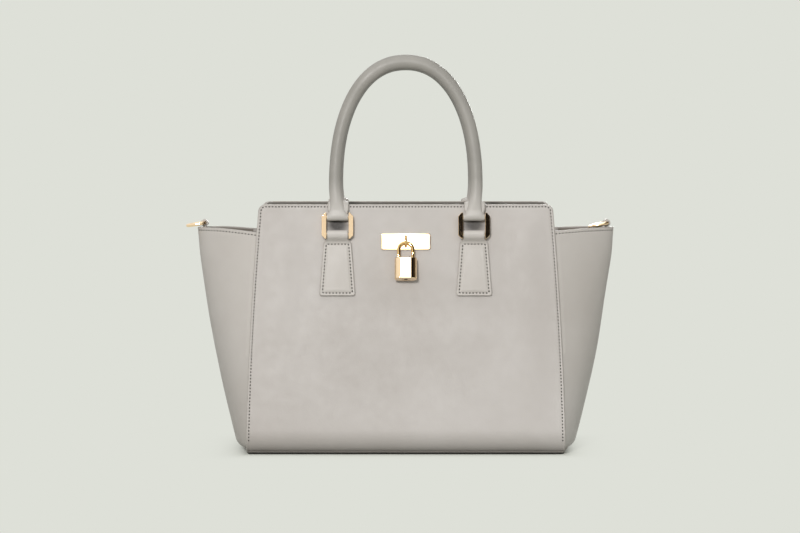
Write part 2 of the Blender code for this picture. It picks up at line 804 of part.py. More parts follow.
def make_padlock():
    frame = shackle_axis_frame()
    radius = (SHACKLE_WIDTH - SHACKLE_WIRE) / 2
    bow = [(radius * math.cos(a), 0, radius * math.sin(a) - radius)
           for a in [math.pi * k / 12 for k in range(13)]]
    toe = (radius, 0, -SHACKLE_LENGTH - SHACKLE_TOE_DEPTH)
    heel = (-radius, 0, -SHACKLE_LENGTH - SHACKLE_HEEL_DEPTH)
    shackle_pivot = Pivot("padlock_axis", frame)
    shackle_pivot.carry("padlock_shackle", wire([toe] + bow + [heel], SHACKLE_WIRE), GOLD)
    section = rounded_rectangle(PADLOCK_WIDTH, PADLOCK_THICKNESS, PADLOCK_SIDE_RADIUS,
                                PADLOCK_SIDE_STEPS)
    body = bevelled(flat_outline([section], PADLOCK_HEIGHT), PADLOCK_EDGE, 2)
    body.transform(Matrix.Translation((0, 0, -PADLOCK_HEIGHT / 2)))
    bore = SHACKLE_WIRE + 2 * GAP
    cutters = []
    for x, depth in ((radius, SHACKLE_TOE_DEPTH), (-radius, SHACKLE_HEEL_DEPTH)):
        length = 2 * (depth + GAP)
        cutters.append(cylinder(bore, length, Matrix.Translation((x, 0, 0)), 12))
    floor = -PADLOCK_HEIGHT
    cutters.append(cylinder(PLUG_DIAMETER + 2 * GAP, 2 * (PLUG_DEPTH + GAP),
                            Matrix.Translation((0, 0, floor)), 16))
    body = combine(body, cutters, "DIFFERENCE")
    top = frame @ Matrix.Translation((0, 0, -SHACKLE_LENGTH))
    body_pivot = Pivot("padlock_slide", top, shackle_pivot)
    body_pivot.carry("padlock_body", body, GOLD)
    plug = cylinder(PLUG_DIAMETER, PLUG_DEPTH, Matrix.Translation((0, 0, PLUG_DEPTH / 2)), 16)
    slot = box((KEYWAY_WIDTH, KEYWAY_LENGTH, PLUG_DEPTH * 1.6))
    plug = combine(plug, [slot], "DIFFERENCE")
    plug_pivot = Pivot("key_plug_axis", top @ Matrix.Translation((0, 0, floor)), body_pivot)
    plug_pivot.carry("padlock_key_plug", plug, GOLD)


def tip_spot(w):
    """Spot inside the right wing's tip, clear of its lining, at the side tab's edge."""
    half = SIDE_TAB_WIDTH / 2
    depth = WING_LINING_DEPTH + LINING + GAP
    v = half / wall_y(WING_HEIGHT, SEAM_DEPTH)
    for step in range(8):
        spot = wing_inside(v, w, depth)
        v *= half / spot.y
    return spot


def side_ring_place():
    """Frame on the right side ring's bar, leaning as the wing's tip does."""
    top = tip_spot(2)
    low = tip_spot(2 - SIDE_TAB_DEPTH / (WING_HEIGHT - WING_FLOOR - WING_ROLL))
    lean = math.atan2(top.x - low.x, top.z - low.z)
    tip = Matrix.Translation((top.x, 0, WING_HEIGHT)) @ Matrix.Rotation(lean, 4, "Y")
    return tip @ Matrix.Translation((-SIDE_TAB_LEATHER, 0, SIDE_RING_HEIGHT)), lean


def side_tab_mesh():
    """Leather tab folded round the ring's bar, its two legs sewn together below."""
    inner = SIDE_RING_WIRE / 2 + GAP
    outer = inner + SIDE_TAB_LEATHER
    leg = SIDE_TAB_LEATHER
    start = -math.pi / 2 + math.asin(leg / outer)
    outline = arc((0, 0), outer, start, 1.5 * math.pi - math.asin(leg / outer), 12)
    outline += [(-leg, -SIDE_TAB_DEPTH), (leg, -SIDE_TAB_DEPTH)]
    hole = arc((0, 0), inner, 0, 2 * math.pi * 11 / 12, 11)
    mesh = flat_outline([outline, hole], SIDE_TAB_WIDTH)
    mesh.transform(on_edge(Matrix()))
    return mesh


def side_ring_mesh():
    """D-ring lying along +X with its straight bar on the Y axis."""
    half = (SIDE_RING_WIDTH - SIDE_RING_WIRE) / 2
    corner = SIDE_RING_CORNER
    reach = SIDE_RING_REACH - SIDE_RING_WIRE / 2
    points = arc((corner, half - corner), corner, math.pi, math.pi / 2, 3)
    points += arc((reach - half, 0), half, math.pi / 2, -math.pi / 2, 12)
    points += arc((corner, corner - half), corner, -math.pi / 2, -math.pi, 3)
    return wire([(x, y, 0) for x, y in points], SIDE_RING_WIRE, True, 8)


def make_side_rings():
    """The left ring lies outward over its tip, and the right one inward over the mouth."""
    place, lean = side_ring_place()
    about = Matrix.Rotation(math.pi, 4, "Z")
    for side, turn, lie in (("left", about, LEFT_RING_DROOP),
                            ("right", Matrix(), math.pi - RIGHT_RING_DROOP)):
        link(side + "_d_ring_tab", side_tab_mesh(), LEATHER, turn @ place)
        pivot = Pivot(side + "_d_ring_axis", turn @ place @ Matrix.Rotation(lie - lean, 4, "Y"))
        pivot.carry(side + "_d_ring", side_ring_mesh(), GOLD)


def snap_profile(nub):
    """Half section of a snap half, from its back at the axis round to its front."""
    radius, thick, edge = SNAP_DIAMETER / 2, SNAP_THICKNESS, SNAP_EDGE
    front = thick + SNAP_NUB_HEIGHT if nub else thick - SNAP_NUB_HEIGHT
    width = SNAP_NUB / 2 if nub else SNAP_NUB / 2 + GAP
    return [(0, front), (width, front), (width, thick), (radius - edge, thick),
            (radius, thick - edge), (radius, 0), (0, 0)]


def turned(profile, steps=20):
    """Solid turned about Z from a half section that runs from top to bottom."""
    mesh = bpy.data.meshes.new("profile")
    mesh.from_pydata([(x, 0, z) for x, z in profile], [(k, k + 1) for k in range(len(profile) - 1)], [])
    maker = temporary(mesh)
    step = maker.modifiers.new("turn", "SCREW")
    step.steps = steps
    step.render_steps = steps
    step.use_merge_vertices = True
    step.merge_threshold = 1e-5
    return mesh_of(maker)


def make_snap():
    for side, nub in (("front", False), ("back", True)):
        frame = face_frame(side, 0, SNAP_DROP, -FACING_BACK - GAP)
        inward = frame @ Matrix.Rotation(-math.pi / 2, 4, "X")
        link(side + "_magnetic_snap", turned(snap_profile(nub)), GOLD, inward)


make_walls()
make_wings()
make_base()
make_handles()
make_lock_plate()
make_padlock()
make_side_rings()
make_snap()
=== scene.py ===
"""Looks of the winged leather tote bag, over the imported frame.

Metres, +Z up, front towards -Y. The shape formulas are those of the part's source.
"""

import bisect
import math

import bmesh
import bpy
from mathutils import Matrix, Vector, noise


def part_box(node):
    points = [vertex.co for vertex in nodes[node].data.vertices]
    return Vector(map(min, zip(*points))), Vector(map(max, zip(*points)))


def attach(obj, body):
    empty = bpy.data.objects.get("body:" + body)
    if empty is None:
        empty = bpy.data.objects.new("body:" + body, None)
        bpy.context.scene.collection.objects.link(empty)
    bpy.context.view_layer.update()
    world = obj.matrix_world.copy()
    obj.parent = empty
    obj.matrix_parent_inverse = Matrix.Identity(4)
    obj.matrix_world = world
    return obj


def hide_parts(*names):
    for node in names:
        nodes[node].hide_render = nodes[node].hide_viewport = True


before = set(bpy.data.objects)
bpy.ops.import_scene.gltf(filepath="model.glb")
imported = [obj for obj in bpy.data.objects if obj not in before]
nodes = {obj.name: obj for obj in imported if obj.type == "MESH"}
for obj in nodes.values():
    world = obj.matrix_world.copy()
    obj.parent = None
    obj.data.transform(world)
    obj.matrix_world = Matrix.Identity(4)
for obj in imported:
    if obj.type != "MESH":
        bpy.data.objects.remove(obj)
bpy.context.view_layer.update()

MM = 0.001

# Sheets
PANEL_LEATHER = 0.0020
WING_LEATHER = 0.0016
STIFFENER = 0.0016
FACING_LEATHER = 0.0014
LINING = 0.0008
BASE_LEATHER = 0.0020
GAP = 0.0003

# Outline of the body
BODY_HEIGHT = 0.237
BASE_HALF_WIDTH = 0.152
BASE_HALF_DEPTH = 0.075
TOP_HALF_DEPTH = 0.042
BOTTOM_ROLL = 0.020
PANEL_TAPER = 0.0035
PANEL_BOW = 0.0081
PANEL_CORNER = 0.0065
FACING_HEIGHT = 0.038
BASE_INSET = 0.005

# Wings
WING_HEIGHT = BODY_HEIGHT - 0.0235
WING_BASE_BULGE = 0.010
WING_SPREAD = 0.0494
WING_BOW = 0.0044
WING_ROLL = 0.008
WING_SEAM = 0.010
WING_FULLNESS_BASE = 2.5
WING_FULLNESS_TOP = 1.6
WING_LINING_DROP = 0.001

# Handles and their rings
HANDLE_SPAN = 0.1346
HANDLE_RISE = 0.1483
HANDLE_SHOULDER = 0.031
HANDLE_SQUARENESS = 2.2
HANDLE_END_RADIUS = 0.0060
HANDLE_MIDDLE_RADIUS = 0.0072
HANDLE_LEAN = math.radians(5.0)
LOOP_WIDTH = 0.0202
LOOP_WALL = 0.0014
RING_SPACING = 0.1302
RING_WIDTH = 0.0303
RING_HEIGHT = 0.0250
RING_PITCH = 0.0163
RING_BAR = 0.0035
RING_SIDE_WIDTH = 0.0046
RING_SIDE_DEPTH = 0.0040
RING_CUT = 0.0032
RING_CUT_HEIGHT = 0.0034
RING_BEVEL = 0.0002
RING_DROP = 0.0296
RING_STANDOFF = 0.0048

# Tabs
TAB_TOP_WIDTH = 0.0265
TAB_BOTTOM_WIDTH = 0.0345
TAB_LENGTH = 0.0525
TAB_DROP = 0.0358
TAB_STRAP_WIDTH = 0.0203
TAB_STRAP_THICKNESS = 0.0018
TAB_THICKNESS = 0.0020
TAB_CORNER = 0.0025

# Lock
PLATE_WIDTH = 0.0472
PLATE_HEIGHT = 0.0157
PLATE_CORNER = 0.0022
PLATE_RIM = 0.0004
PLATE_DROP = 0.0362
PLATE_THICKNESS = 0.0015
STAPLE_WIRE = 0.0023
STAPLE_HEIGHT = 0.0093
STAPLE_REACH = 0.0080
BACKING_THICKNESS = 0.0012
SHACKLE_WIRE = 0.0033
SHACKLE_WIDTH = 0.0169
SHACKLE_LENGTH = 0.0152
SHACKLE_HEEL_DEPTH = 0.0140
SHACKLE_TOE_DEPTH = 0.0055
PADLOCK_WIDTH = 0.0213
PADLOCK_HEIGHT = 0.0208
PADLOCK_THICKNESS = 0.0118
PADLOCK_SIDE_ROUND = 0.0054
PADLOCK_RIM = 0.0008
PADLOCK_CROWN = 0.00001
PLUG_DIAMETER = 0.0064
PLUG_DEPTH = 0.0050
KEYWAY_LENGTH = 0.0044
KEYWAY_WIDTH = 0.0016
KEYWAY_ROUND = 0.0018

# Side rings
SIDE_RING_WIRE = 0.0034
SIDE_RING_WIDTH = 0.0204
SIDE_RING_REACH = 0.0185
SIDE_RING_CORNER = 0.0025
SIDE_TAB_WIDTH = 0.0090
SIDE_TAB_LEATHER = 0.0016
SIDE_TAB_DEPTH = 0.0200
SIDE_RING_HEIGHT = 0.0038
LEFT_RING_DROOP = math.radians(9.0)
RIGHT_RING_DROOP = math.radians(15.0)

# Stitching
PITCH = 0.0031
TAB_PITCH = 0.0032
WING_PITCH = 0.0036
SEAM_INSET = 0.0027
THREAD = 0.00028
HOLE_LENGTH = 0.0018
HOLE_WIDTH = 0.00112
TAB_HOLE_WIDTH = 0.0014
HOLE_LIFT = 0.00018
GROOVE = 0.00022
GROOVE_WIDTH = 0.0007

ROLL_CENTRE = BASE_HALF_DEPTH - BOTTOM_ROLL
_RUN = ROLL_CENTRE - TOP_HALF_DEPTH
_RISE = BODY_HEIGHT - BOTTOM_ROLL
LEAN = math.atan2(_RUN, _RISE) + math.asin(BOTTOM_ROLL / math.hypot(_RUN, _RISE))
FACE_LENGTH = math.sqrt(_RUN ** 2 + _RISE ** 2 - BOTTOM_ROLL ** 2)
ROLL_LENGTH = BOTTOM_ROLL * (math.pi / 2 + LEAN)
WALL_LENGTH = ROLL_LENGTH + FACE_LENGTH
SEAM_DEPTH = PANEL_LEATHER + GAP
LINING_DEPTH = SEAM_DEPTH + STIFFENER + GAP
FACING_BACK = LINING_DEPTH + FACING_LEATHER
WING_LINING_DEPTH = WING_LEATHER + 2 * GAP
WING_FLOOR = BASE_LEATHER + GAP


def lerp(a, b, t):
    return a + (b - a) * t


def ease(t):
    t = min(max(t, 0.0), 1.0)
    return t * t * (3 - 2 * t)


def steps(count):
    """Shares from 0 to 1, both included."""
    return [k / count for k in range(count + 1)]


def turns(count):
    """Angles of even steps round a full turn."""
    return [2 * math.pi * k / count for k in range(count)]


def eased_steps(count, pull=0.5):
    """Shares from 0 to 1 that lie closer together near both ends."""
    return [lerp(t, ease(t), pull) for t in steps(count)]


# Colours and materials

def srgb(red, green, blue):
    """Linear colour from display values of 0 to 255."""
    values = (red / 255, green / 255, blue / 255)
    linear = [v / 12.92 if v <= 0.04045 else ((v + 0.055) / 1.055) ** 2.4 for v in values]
    return (*linear, 1.0)


class Nodes:
    """A node tree, and short ways to add nodes to it and to join them."""

    def __init__(self, tree):
        self.tree = tree

    def feed(self, socket, value):
        if isinstance(value, bpy.types.NodeSocket):
            self.tree.links.new(value, socket)
        else:
            socket.default_value = value

    def add(self, kind, settings=None, **inputs):
        """Node with its inputs given by name, underscores for spaces."""
        made = self.tree.nodes.new(kind)
        for key, value in (settings or {}).items():
            setattr(made, key, value)
        for key, value in inputs.items():
            self.feed(made.inputs[key.replace("_", " ")], value)
        return made

    def fill(self, kind, settings, *values):
        """Outputs of a node whose first inputs take the values."""
        made = self.add(kind, settings)
        for socket, value in zip(made.inputs, values):
            self.feed(socket, value)
        return made.outputs

    def math(self, operation, *values):
        return self.fill("ShaderNodeMath", {"operation": operation}, *values)[0]

    def vector(self, operation, *values):
        return self.fill("ShaderNodeVectorMath", {"operation": operation}, *values)

    def parts(self, vector):
        return self.add("ShaderNodeSeparateXYZ", Vector=vector).outputs

    def spread(self, value, low, high, out_low=0.0, out_high=1.0, curve="LINEAR"):
        made = self.add("ShaderNodeMapRange", {"interpolation_type": curve}, Value=value, From_Min=low,
                        From_Max=high, To_Min=out_low, To_Max=out_high)
        return made.outputs["Result"]

    def ramp(self, value, start, end):
        """Smooth rise from 0 to 1 between two values."""
        return self.spread(value, start, end, curve="SMOOTHSTEP")

    def mix(self, factor, first, second):
        made = self.add("ShaderNodeMix", {"data_type": "RGBA"})
        for k, value in ((0, factor), (6, first), (7, second)):
            self.feed(made.inputs[k], value)
        return made.outputs[2]


class Look(Nodes):
    """A material in the making, whose nodes end in its Principled shader."""

    def __init__(self, name, metallic=0.0):
        self.material = bpy.data.materials.new(name)
        self.material.use_nodes = True
        super().__init__(self.material.node_tree)
        self.skin = self.tree.nodes["Principled BSDF"]
        self.skin.inputs["Metallic"].default_value = metallic
        self.place = self.add("ShaderNodeTexCoord").outputs["Object"]

    def noise(self, scale, detail, roughness, place=None):
        made = self.add("ShaderNodeTexNoise", Vector=place or self.place, Scale=scale,
                        Detail=detail, Roughness=roughness)
        return made.outputs["Fac"]

    def bump(self, height, distance, strength, normal=None):
        made = self.add("ShaderNodeBump", Height=height, Distance=distance, Strength=strength)
        if normal is not None:
            self.feed(made.inputs["Normal"], normal)
        return made.outputs["Normal"]

    def dress(self, colour, roughness, normal=None):
        self.feed(self.skin.inputs["Base Color"], colour)
        self.feed(self.skin.inputs["Roughness"], roughness)
        if normal is not None:
            self.feed(self.skin.inputs["Normal"], normal)
        return self.material


def arch_shade(look, base):
    """Painted shade: the handle's colour turns darker above its feet, over the whole arch."""
    height = look.parts(look.place)["Z"]
    return look.mix(look.spread(height, *ARCH_SHADE_HEIGHTS), base, srgb(151, 148, 142))


def ring_shade(look, base):
    """Soft dark spot behind each front ring, which stands for the deep shade there."""
    parts = look.parts(look.place)
    beside = look.math("SUBTRACT", look.math("ABSOLUTE", parts["X"]), RING_SPACING / 2)
    beside = look.math("DIVIDE", beside, SHADE_REACH[0])
    above = look.math("DIVIDE", look.math("SUBTRACT", parts["Z"], SHADE_HEIGHT), SHADE_REACH[1])
    away = look.math("ADD", look.math("MULTIPLY", beside, beside), look.math("MULTIPLY", above, above))
    front = look.math("LESS_THAN", parts["Y"], 0.0)
    share = look.math("MULTIPLY", look.spread(away, 1.0, 0.15), front)
    return look.mix(share, base, srgb(44, 40, 36))


def leather(name, light, dark, smooth=0.46, rough=0.60, shaded=None):
    """Smooth calf leather: soft clouds of tone, fine pores and a satin finish.

    shaded(look, base) paints shade into its colour in some places.
    """
    look = Look(name)
    cloud = look.noise(9.0, 4.0, 0.55)
    patch = look.noise(38.0, 3.0, 0.5)
    speck = look.noise(900.0, 2.0, 0.6)
    base = look.mix(look.spread(cloud, 0.34, 0.66), dark, light)
    if shaded:
        base = shaded(look, base)
    base = look.mix(look.spread(patch, 0.40, 0.72, 0.0, 0.22), base, dark)
    base = look.mix(look.spread(speck, 0.55, 0.80, 0.0, 0.16), base, dark)
    pores = look.add("ShaderNodeTexVoronoi", Vector=look.place, Scale=1500.0)
    pore_height = look.spread(pores.outputs["Distance"], 0.0, 0.35)
    hide = look.noise(420.0, 4.0, 0.6)
    wave = look.noise(55.0, 2.0, 0.5)
    normal = look.bump(wave, 0.00025, 0.35)
    normal = look.bump(hide, 0.00006, 0.5, normal)
    normal = look.bump(pore_height, 0.00003, 0.6, normal)
    gloss = look.spread(look.noise(120.0, 3.0, 0.5), 0.3, 0.7, smooth, rough)
    return look.dress(base, gloss, normal)


def painted_edge():
    """Sealed and polished cut edge of the leather, a little darker than its face."""
    look = Look("edge_paint")
    worn = look.spread(look.noise(160.0, 3.0, 0.6), 0.35, 0.75)
    base = look.mix(worn, srgb(172, 166, 160), srgb(192, 187, 181))
    normal = look.bump(look.noise(700.0, 2.0, 0.5), 0.00005, 0.5)
    return look.dress(base, look.spread(worn, 0.0, 1.0, 0.32, 0.46), normal)


def thread():
    """Twisted, lightly waxed sewing thread."""
    look = Look("pale_thread")
    twist = look.add("ShaderNodeTexWave", {"bands_direction": "DIAGONAL"}, Vector=look.place,
                     Scale=950.0, Distortion=1.5)
    fuzz = look.noise(2200.0, 2.0, 0.6)
    base = look.mix(look.spread(fuzz, 0.3, 0.7), srgb(198, 193, 186), srgb(224, 219, 212))
    return look.dress(base, look.spread(fuzz, 0.2, 0.8, 0.6, 0.8),
                      look.bump(twist.outputs["Fac"], 0.00006, 0.7))


def painted_shade():
    """Painted shade: near-black colour for flat marks that stand for the shade in the needle's holes, in the
    keyway and under the welts.
    """
    look = Look("painted_shade")
    speck = look.noise(1800.0, 2.0, 0.5)
    return look.dress(look.mix(speck, srgb(24, 22, 20), srgb(50, 47, 43)),
                      look.spread(speck, 0.2, 0.8, 0.8, 0.95))


def cloth():
    """Plain woven lining."""
    look = Look("woven_lining")
    warp = look.add("ShaderNodeTexWave", {"bands_direction": "X"}, Vector=look.place,
                    Scale=420.0, Distortion=0.6)
    weft = look.add("ShaderNodeTexWave", {"bands_direction": "Z"}, Vector=look.place,
                    Scale=420.0, Distortion=0.6)
    weave = look.math("MULTIPLY", warp.outputs["Fac"], weft.outputs["Fac"])
    slub = look.noise(70.0, 3.0, 0.6)
    base = look.mix(look.spread(slub, 0.3, 0.7), srgb(140, 132, 123), srgb(158, 150, 141))
    base = look.mix(look.spread(weave, 0.0, 0.6, 0.3, 0.0), base, srgb(112, 105, 97))
    normal = look.bump(look.noise(45.0, 2.0, 0.5), 0.0004, 0.4)
    normal = look.bump(weave, 0.00012, 0.7, normal)
    made = look.dress(base, look.spread(slub, 0.2, 0.8, 0.78, 0.92), normal)
    look.skin.inputs["Sheen Weight"].default_value = 0.15
    return made


def polished(name, light, dark, smooth, rough):
    """Plated metal: a clear polish with faint hazy handling marks and hairlines."""
    look = Look(name, metallic=1.0)
    haze = look.noise(70.0, 3.0, 0.55)
    stretch = look.add("ShaderNodeMapping", Vector=look.place, Scale=(300.0, 300.0, 2600.0))
    lines = look.noise(1.0, 3.0, 0.6, stretch.outputs["Vector"])
    base = look.mix(look.spread(haze, 0.35, 0.75), light, dark)
    gloss = look.spread(haze, 0.3, 0.8, smooth, rough)
    return look.dress(base, gloss, look.bump(lines, 0.000002, 0.12))


def board():
    """Pressed fibre board."""
    look = Look("pressed_board")
    stretch = look.add("ShaderNodeMapping", Vector=look.place, Scale=(120.0, 900.0, 900.0))
    fibre = look.noise(1.0, 4.0, 0.65, stretch.outputs["Vector"])
    base = look.mix(look.spread(fibre, 0.3, 0.7), srgb(128, 116, 100), srgb(160, 148, 130))
    return look.dress(base, look.spread(fibre, 0.2, 0.8, 0.82, 0.95), look.bump(fibre, 0.0001, 0.6))


# Heights over which the handle's painted shade comes in
ARCH_SHADE_HEIGHTS = (0.236, 0.262)
SHADE_HEIGHT = 0.2170
SHADE_REACH = (0.0132, 0.0088)
# Copies of one leather, painted light and shade: wings, tabs, base and handles are painted a little lighter
# than the panels.
LEATHER = leather("smooth_leather", srgb(200, 195, 190), srgb(189, 183, 177))
PANEL_LOOK = leather("panel_leather", srgb(193, 188, 184), srgb(180, 174, 169), shaded=ring_shade)
HANDLE_LEATHER = leather("handle_leather", srgb(196, 192, 187), srgb(184, 179, 173), 0.42, 0.55, arch_shade)
# Painted shade: a much darker copy of the leather for the facings, top edges and welts, which sit in shade
SHADED_LEATHER = leather("facing_leather", srgb(120, 116, 110), srgb(108, 104, 98), 0.5, 0.64)
EDGE = painted_edge()
THREAD_LOOK = thread()
SHADE_LOOK = painted_shade()
CLOTH = cloth()
GOLD = polished("pale_gold_plate", srgb(254, 228, 190), srgb(250, 222, 182), 0.025, 0.04)
# Painted shade: the wires take a deeper copy of the gold plate, which stands for the shade and dark
# reflections on them.
DEEP_GOLD = polished("deep_gold_plate", srgb(242, 208, 148), srgb(230, 192, 128), 0.05, 0.09)
STEEL = polished("dulled_steel", srgb(168, 168, 166), srgb(138, 138, 136), 0.34, 0.48)
BOARD = board()


# Mesh making

def in_scene(name, data):
    """New object of the scene."""
    made = bpy.data.objects.new(name, data)
    bpy.context.scene.collection.objects.link(made)
    return made


class Shell:
    """Points and faces of one piece while it is being made."""

    def __init__(self):
        self.points = []
        self.faces = []
        self.looks = []

    def add(self, points, faces, look=0):
        start = len(self.points)
        self.points += [tuple(point) for point in points]
        self.faces += [tuple(start + k for k in face) for face in faces]
        self.looks += [look] * len(faces) if isinstance(look, int) else look

    def grid(self, rows, look=0, closed=False):
        """Quads between rows of points, each row an open or closed line."""
        width = len(rows[0])
        points = [point for row in rows for point in row]
        faces = []
        for j in range(len(rows) - 1):
            for k in range(width if closed else width - 1):
                after = (k + 1) % width
                faces.append((j * width + k, j * width + after,
                              (j + 1) * width + after, (j + 1) * width + k))
        self.add(points, faces, look)

    def face(self, points, look=0):
        self.add(points, [tuple(range(len(points)))], look)

    def loft(self, rows, look=0, ends=0):
        """Skin through closed rows of points, with flat ends."""
        self.grid(rows, look, closed=True)
        self.face(rows[0], ends)
        self.face(rows[-1], ends)

    def mesh(self, name, merge):
        """Mesh with its doubled points merged and its faces turned outward."""
        made = bpy.data.meshes.new(name)
        made.from_pydata(self.points, [], self.faces)
        made.polygons.foreach_set("material_index", self.looks)
        shape = bmesh.new()
        shape.from_mesh(made)
        bmesh.ops.remove_doubles(shape, verts=shape.verts, dist=merge)
        bmesh.ops.dissolve_degenerate(shape, edges=shape.edges, dist=merge)
        bmesh.ops.recalc_face_normals(shape, faces=shape.faces)
        shape.to_mesh(made)
        shape.free()
        return made

    def piece(self, name, body, slot, looks, stands_for=(), angle=40.0, merge=1e-6):
        return place(name, self.mesh(name, merge), body, slot, looks, stands_for, angle)


def place(name, mesh, body, slot, looks, stands_for=(), angle=40.0):
    """Show a mesh as a piece that rides on a body and stands for CAD nodes."""
    for look in looks:
        mesh.materials.append(look)
    mesh.shade_smooth()
    mesh.set_sharp_from_angle(angle=math.radians(angle))
    made = in_scene(name, mesh)
    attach(made, body)
    if stands_for:
        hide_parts(*stands_for)
    return made


def border_loop(half, low, high, radii, inset, across, along, arc_steps):
    """Closed line that keeps a distance from the edge of a four-sided outline with rounded corners.

    half(v) is the half width at v, and v runs from low to high. radii are the lower and upper ones.
    """
    low_centre, high_centre = max(radii[0], inset), max(radii[1], inset)
    low_arc, high_arc = max(radii[0] - inset, 0.0), max(radii[1] - inset, 0.0)
    angles = [math.pi / 2 * k / arc_steps for k in range(1, arc_steps)]
    right = [(half(v) - inset, v) for v in (lerp(low + low_centre, high - high_centre, t)
                                            for t in along)]
    for a in angles:
        v = high - high_centre + high_arc * math.sin(a)
        right.append((half(v) - high_centre + high_arc * math.cos(a), v))
    v = high - inset
    reach = half(v) - high_centre
    top = [(lerp(reach, -reach, t), v) for t in across]
    left = [(-x, v) for x, v in reversed(right)]
    v = low + inset
    reach = half(v) - low_centre
    bottom = [(lerp(-reach, reach, t), v) for t in across]
    corner = []
    for a in angles:
        v = low + low_centre - low_arc * math.cos(a)
        corner.append((half(v) - low_centre + low_arc * math.sin(a), v))
    mirrored = [(-x, v) for x, v in reversed(corner)]
    return right + top + left + mirrored + bottom + corner


def rounding(inset, radius):
    """How far a rounded edge falls back at a distance from the edge."""
    if inset >= radius:
        return 0.0
    return radius - math.sqrt(max(0.0, radius ** 2 - (radius - inset) ** 2))


EDGE_ANGLES = (1.5708, 1.05, 0.62, 0.28, 0.0)


def edge_bends(radius):
    """Distances from the edge at which its rounding is bent."""
    return [radius * (1 - math.sin(a)) for a in EDGE_ANGLES]


def cut_piece(half, low, high, radii, surface, thickness, relief, insets, across, along, arc_steps=6,
              edge_look=1, soft_edge=None):
    """Leather or cloth cut to a four-sided outline, with rounded edges.

    surface(x, v, depth) is a point at a depth behind the good side, and relief(x, v, inset) is how
    far the good side stands proud.
    """
    shell = Shell()
    radius = thickness / 2 if soft_edge is None else soft_edge
    margin = max(*radii, *insets, 2 * radius)
    levels = sorted({round(v, 7) for v in edge_bends(radius) + [margin] + insets})
    loops = [(e, border_loop(half, low, high, radii, e, across, along, arc_steps)) for e in levels]
    inner_v = [lerp(low + margin, high - margin, t) for t in along]
    inner = [[(lerp(margin - half(v), half(v) - margin, t), v) for t in across] for v in inner_v]

    def inner_inset(x, v):
        return min(half(v) - abs(x), high - v, v - low)

    def good(x, v, e):
        proud = relief(x, v, e) if relief else 0.0
        return surface(x, v, rounding(e, radius) - proud)

    def back(x, v, e):
        return surface(x, v, thickness - rounding(e, radius))

    painted = sum(1 for e in levels if e < radius * 0.9)
    for side in (good, back):
        rows = [[side(x, v, e) for x, v in loop] for e, loop in loops]
        width = len(rows[0])
        looks = [edge_look if k // width < painted else 0 for k in range((len(rows) - 1) * width)]
        shell.grid(rows, looks, closed=True)
        shell.grid([[side(x, v, inner_inset(x, v)) for x, v in row] for row in inner])
    first = loops[0][1]
    shell.grid([[good(x, v, 0.0) for x, v in first], [back(x, v, 0.0) for x, v in first]],
               edge_look, closed=True)
    return shell


def groove(inset, seam=SEAM_INSET, depth=GROOVE):
    """Dent along a line of stitches, with soft swells beside it."""
    away = inset - seam
    dent = -depth * math.exp(-(away / GROOVE_WIDTH) ** 2)
    outside = 0.6 * depth * math.exp(-((away + 1.5 * MM) / (0.9 * MM)) ** 2)
    inside = 0.8 * depth * math.exp(-((away - 2.2 * MM) / (1.6 * MM)) ** 2)
    return dent + outside + inside


SEAM_LEVELS = [1.2 * MM, 1.8 * MM, 2.2 * MM, 2.7 * MM, 3.2 * MM, 3.8 * MM, 4.9 * MM]


def resample(path, spacing):
    """Even spots along a line of (point, outward) pairs: point, outward and direction."""
    lengths = [0.0]
    for (a, _), (b, _) in zip(path, path[1:]):
        lengths.append(lengths[-1] + (b - a).length)
    count = max(2, round(lengths[-1] / spacing))
    spots = []
    k = 0
    for step in range(count + 1):
        goal = lengths[-1] * step / count
        while k < len(path) - 2 and lengths[k + 1] < goal:
            k += 1
        span = lengths[k + 1] - lengths[k]
        t = (goal - lengths[k]) / span if span else 0.0
        (a, outward_a), (b, outward_b) = path[k], path[k + 1]
        spots.append((a.lerp(b, t), outward_a.lerp(outward_b, t).normalized(), (b - a).normalized()))
    return spots


# Rings of a stitch: place along it, then lift and radius as shares of THREAD
THREAD_RINGS = ((-0.50, -0.85, 0.55), (-0.43, -0.15, 0.92), (-0.22, 0.36, 1.0), (0.0, 0.48, 1.02),
                (0.22, 0.36, 1.0), (0.43, -0.15, 0.92), (0.50, -0.85, 0.55))
THREAD_SLANT = 0.00024


def sew(name, paths, body, pitch=PITCH, hole_width=HOLE_WIDTH):
    """Stitches along lines of (point, outward) pairs, with flat discs of painted shade for the needle's holes
    between them.
    """
    shell = Shell()
    for path in paths:
        spots = resample(path, pitch)
        for spot, outward, way in spots:
            across = outward.cross(way).normalized()
            floor = spot + outward * HOLE_LIFT
            shell.face([floor + way * HOLE_LENGTH / 2 * math.cos(a)
                        + across * hole_width / 2 * math.sin(a) for a in turns(10)], 1)
        for (start, outward, way), (end, _, _) in zip(spots, spots[1:]):
            across = outward.cross(way).normalized()
            middle = (start + end) / 2
            reach = (end - start).length - 0.9 * HOLE_LENGTH
            rows = []
            for along, lift, size in THREAD_RINGS:
                centre = middle + way * reach * along + across * THREAD_SLANT * along
                centre = centre + outward * lift * THREAD
                rows.append([centre + (across * math.cos(a) + outward * math.sin(a)) * THREAD * size
                             for a in turns(6)])
            shell.grid(rows, 0, closed=True)
    return shell.piece(name, body, "grey_leather", [THREAD_LOOK, SHADE_LOOK], merge=1e-8)


def outward_at(surface, x, v):
    return (surface(x, v, -MM) - surface(x, v, MM)).normalized()


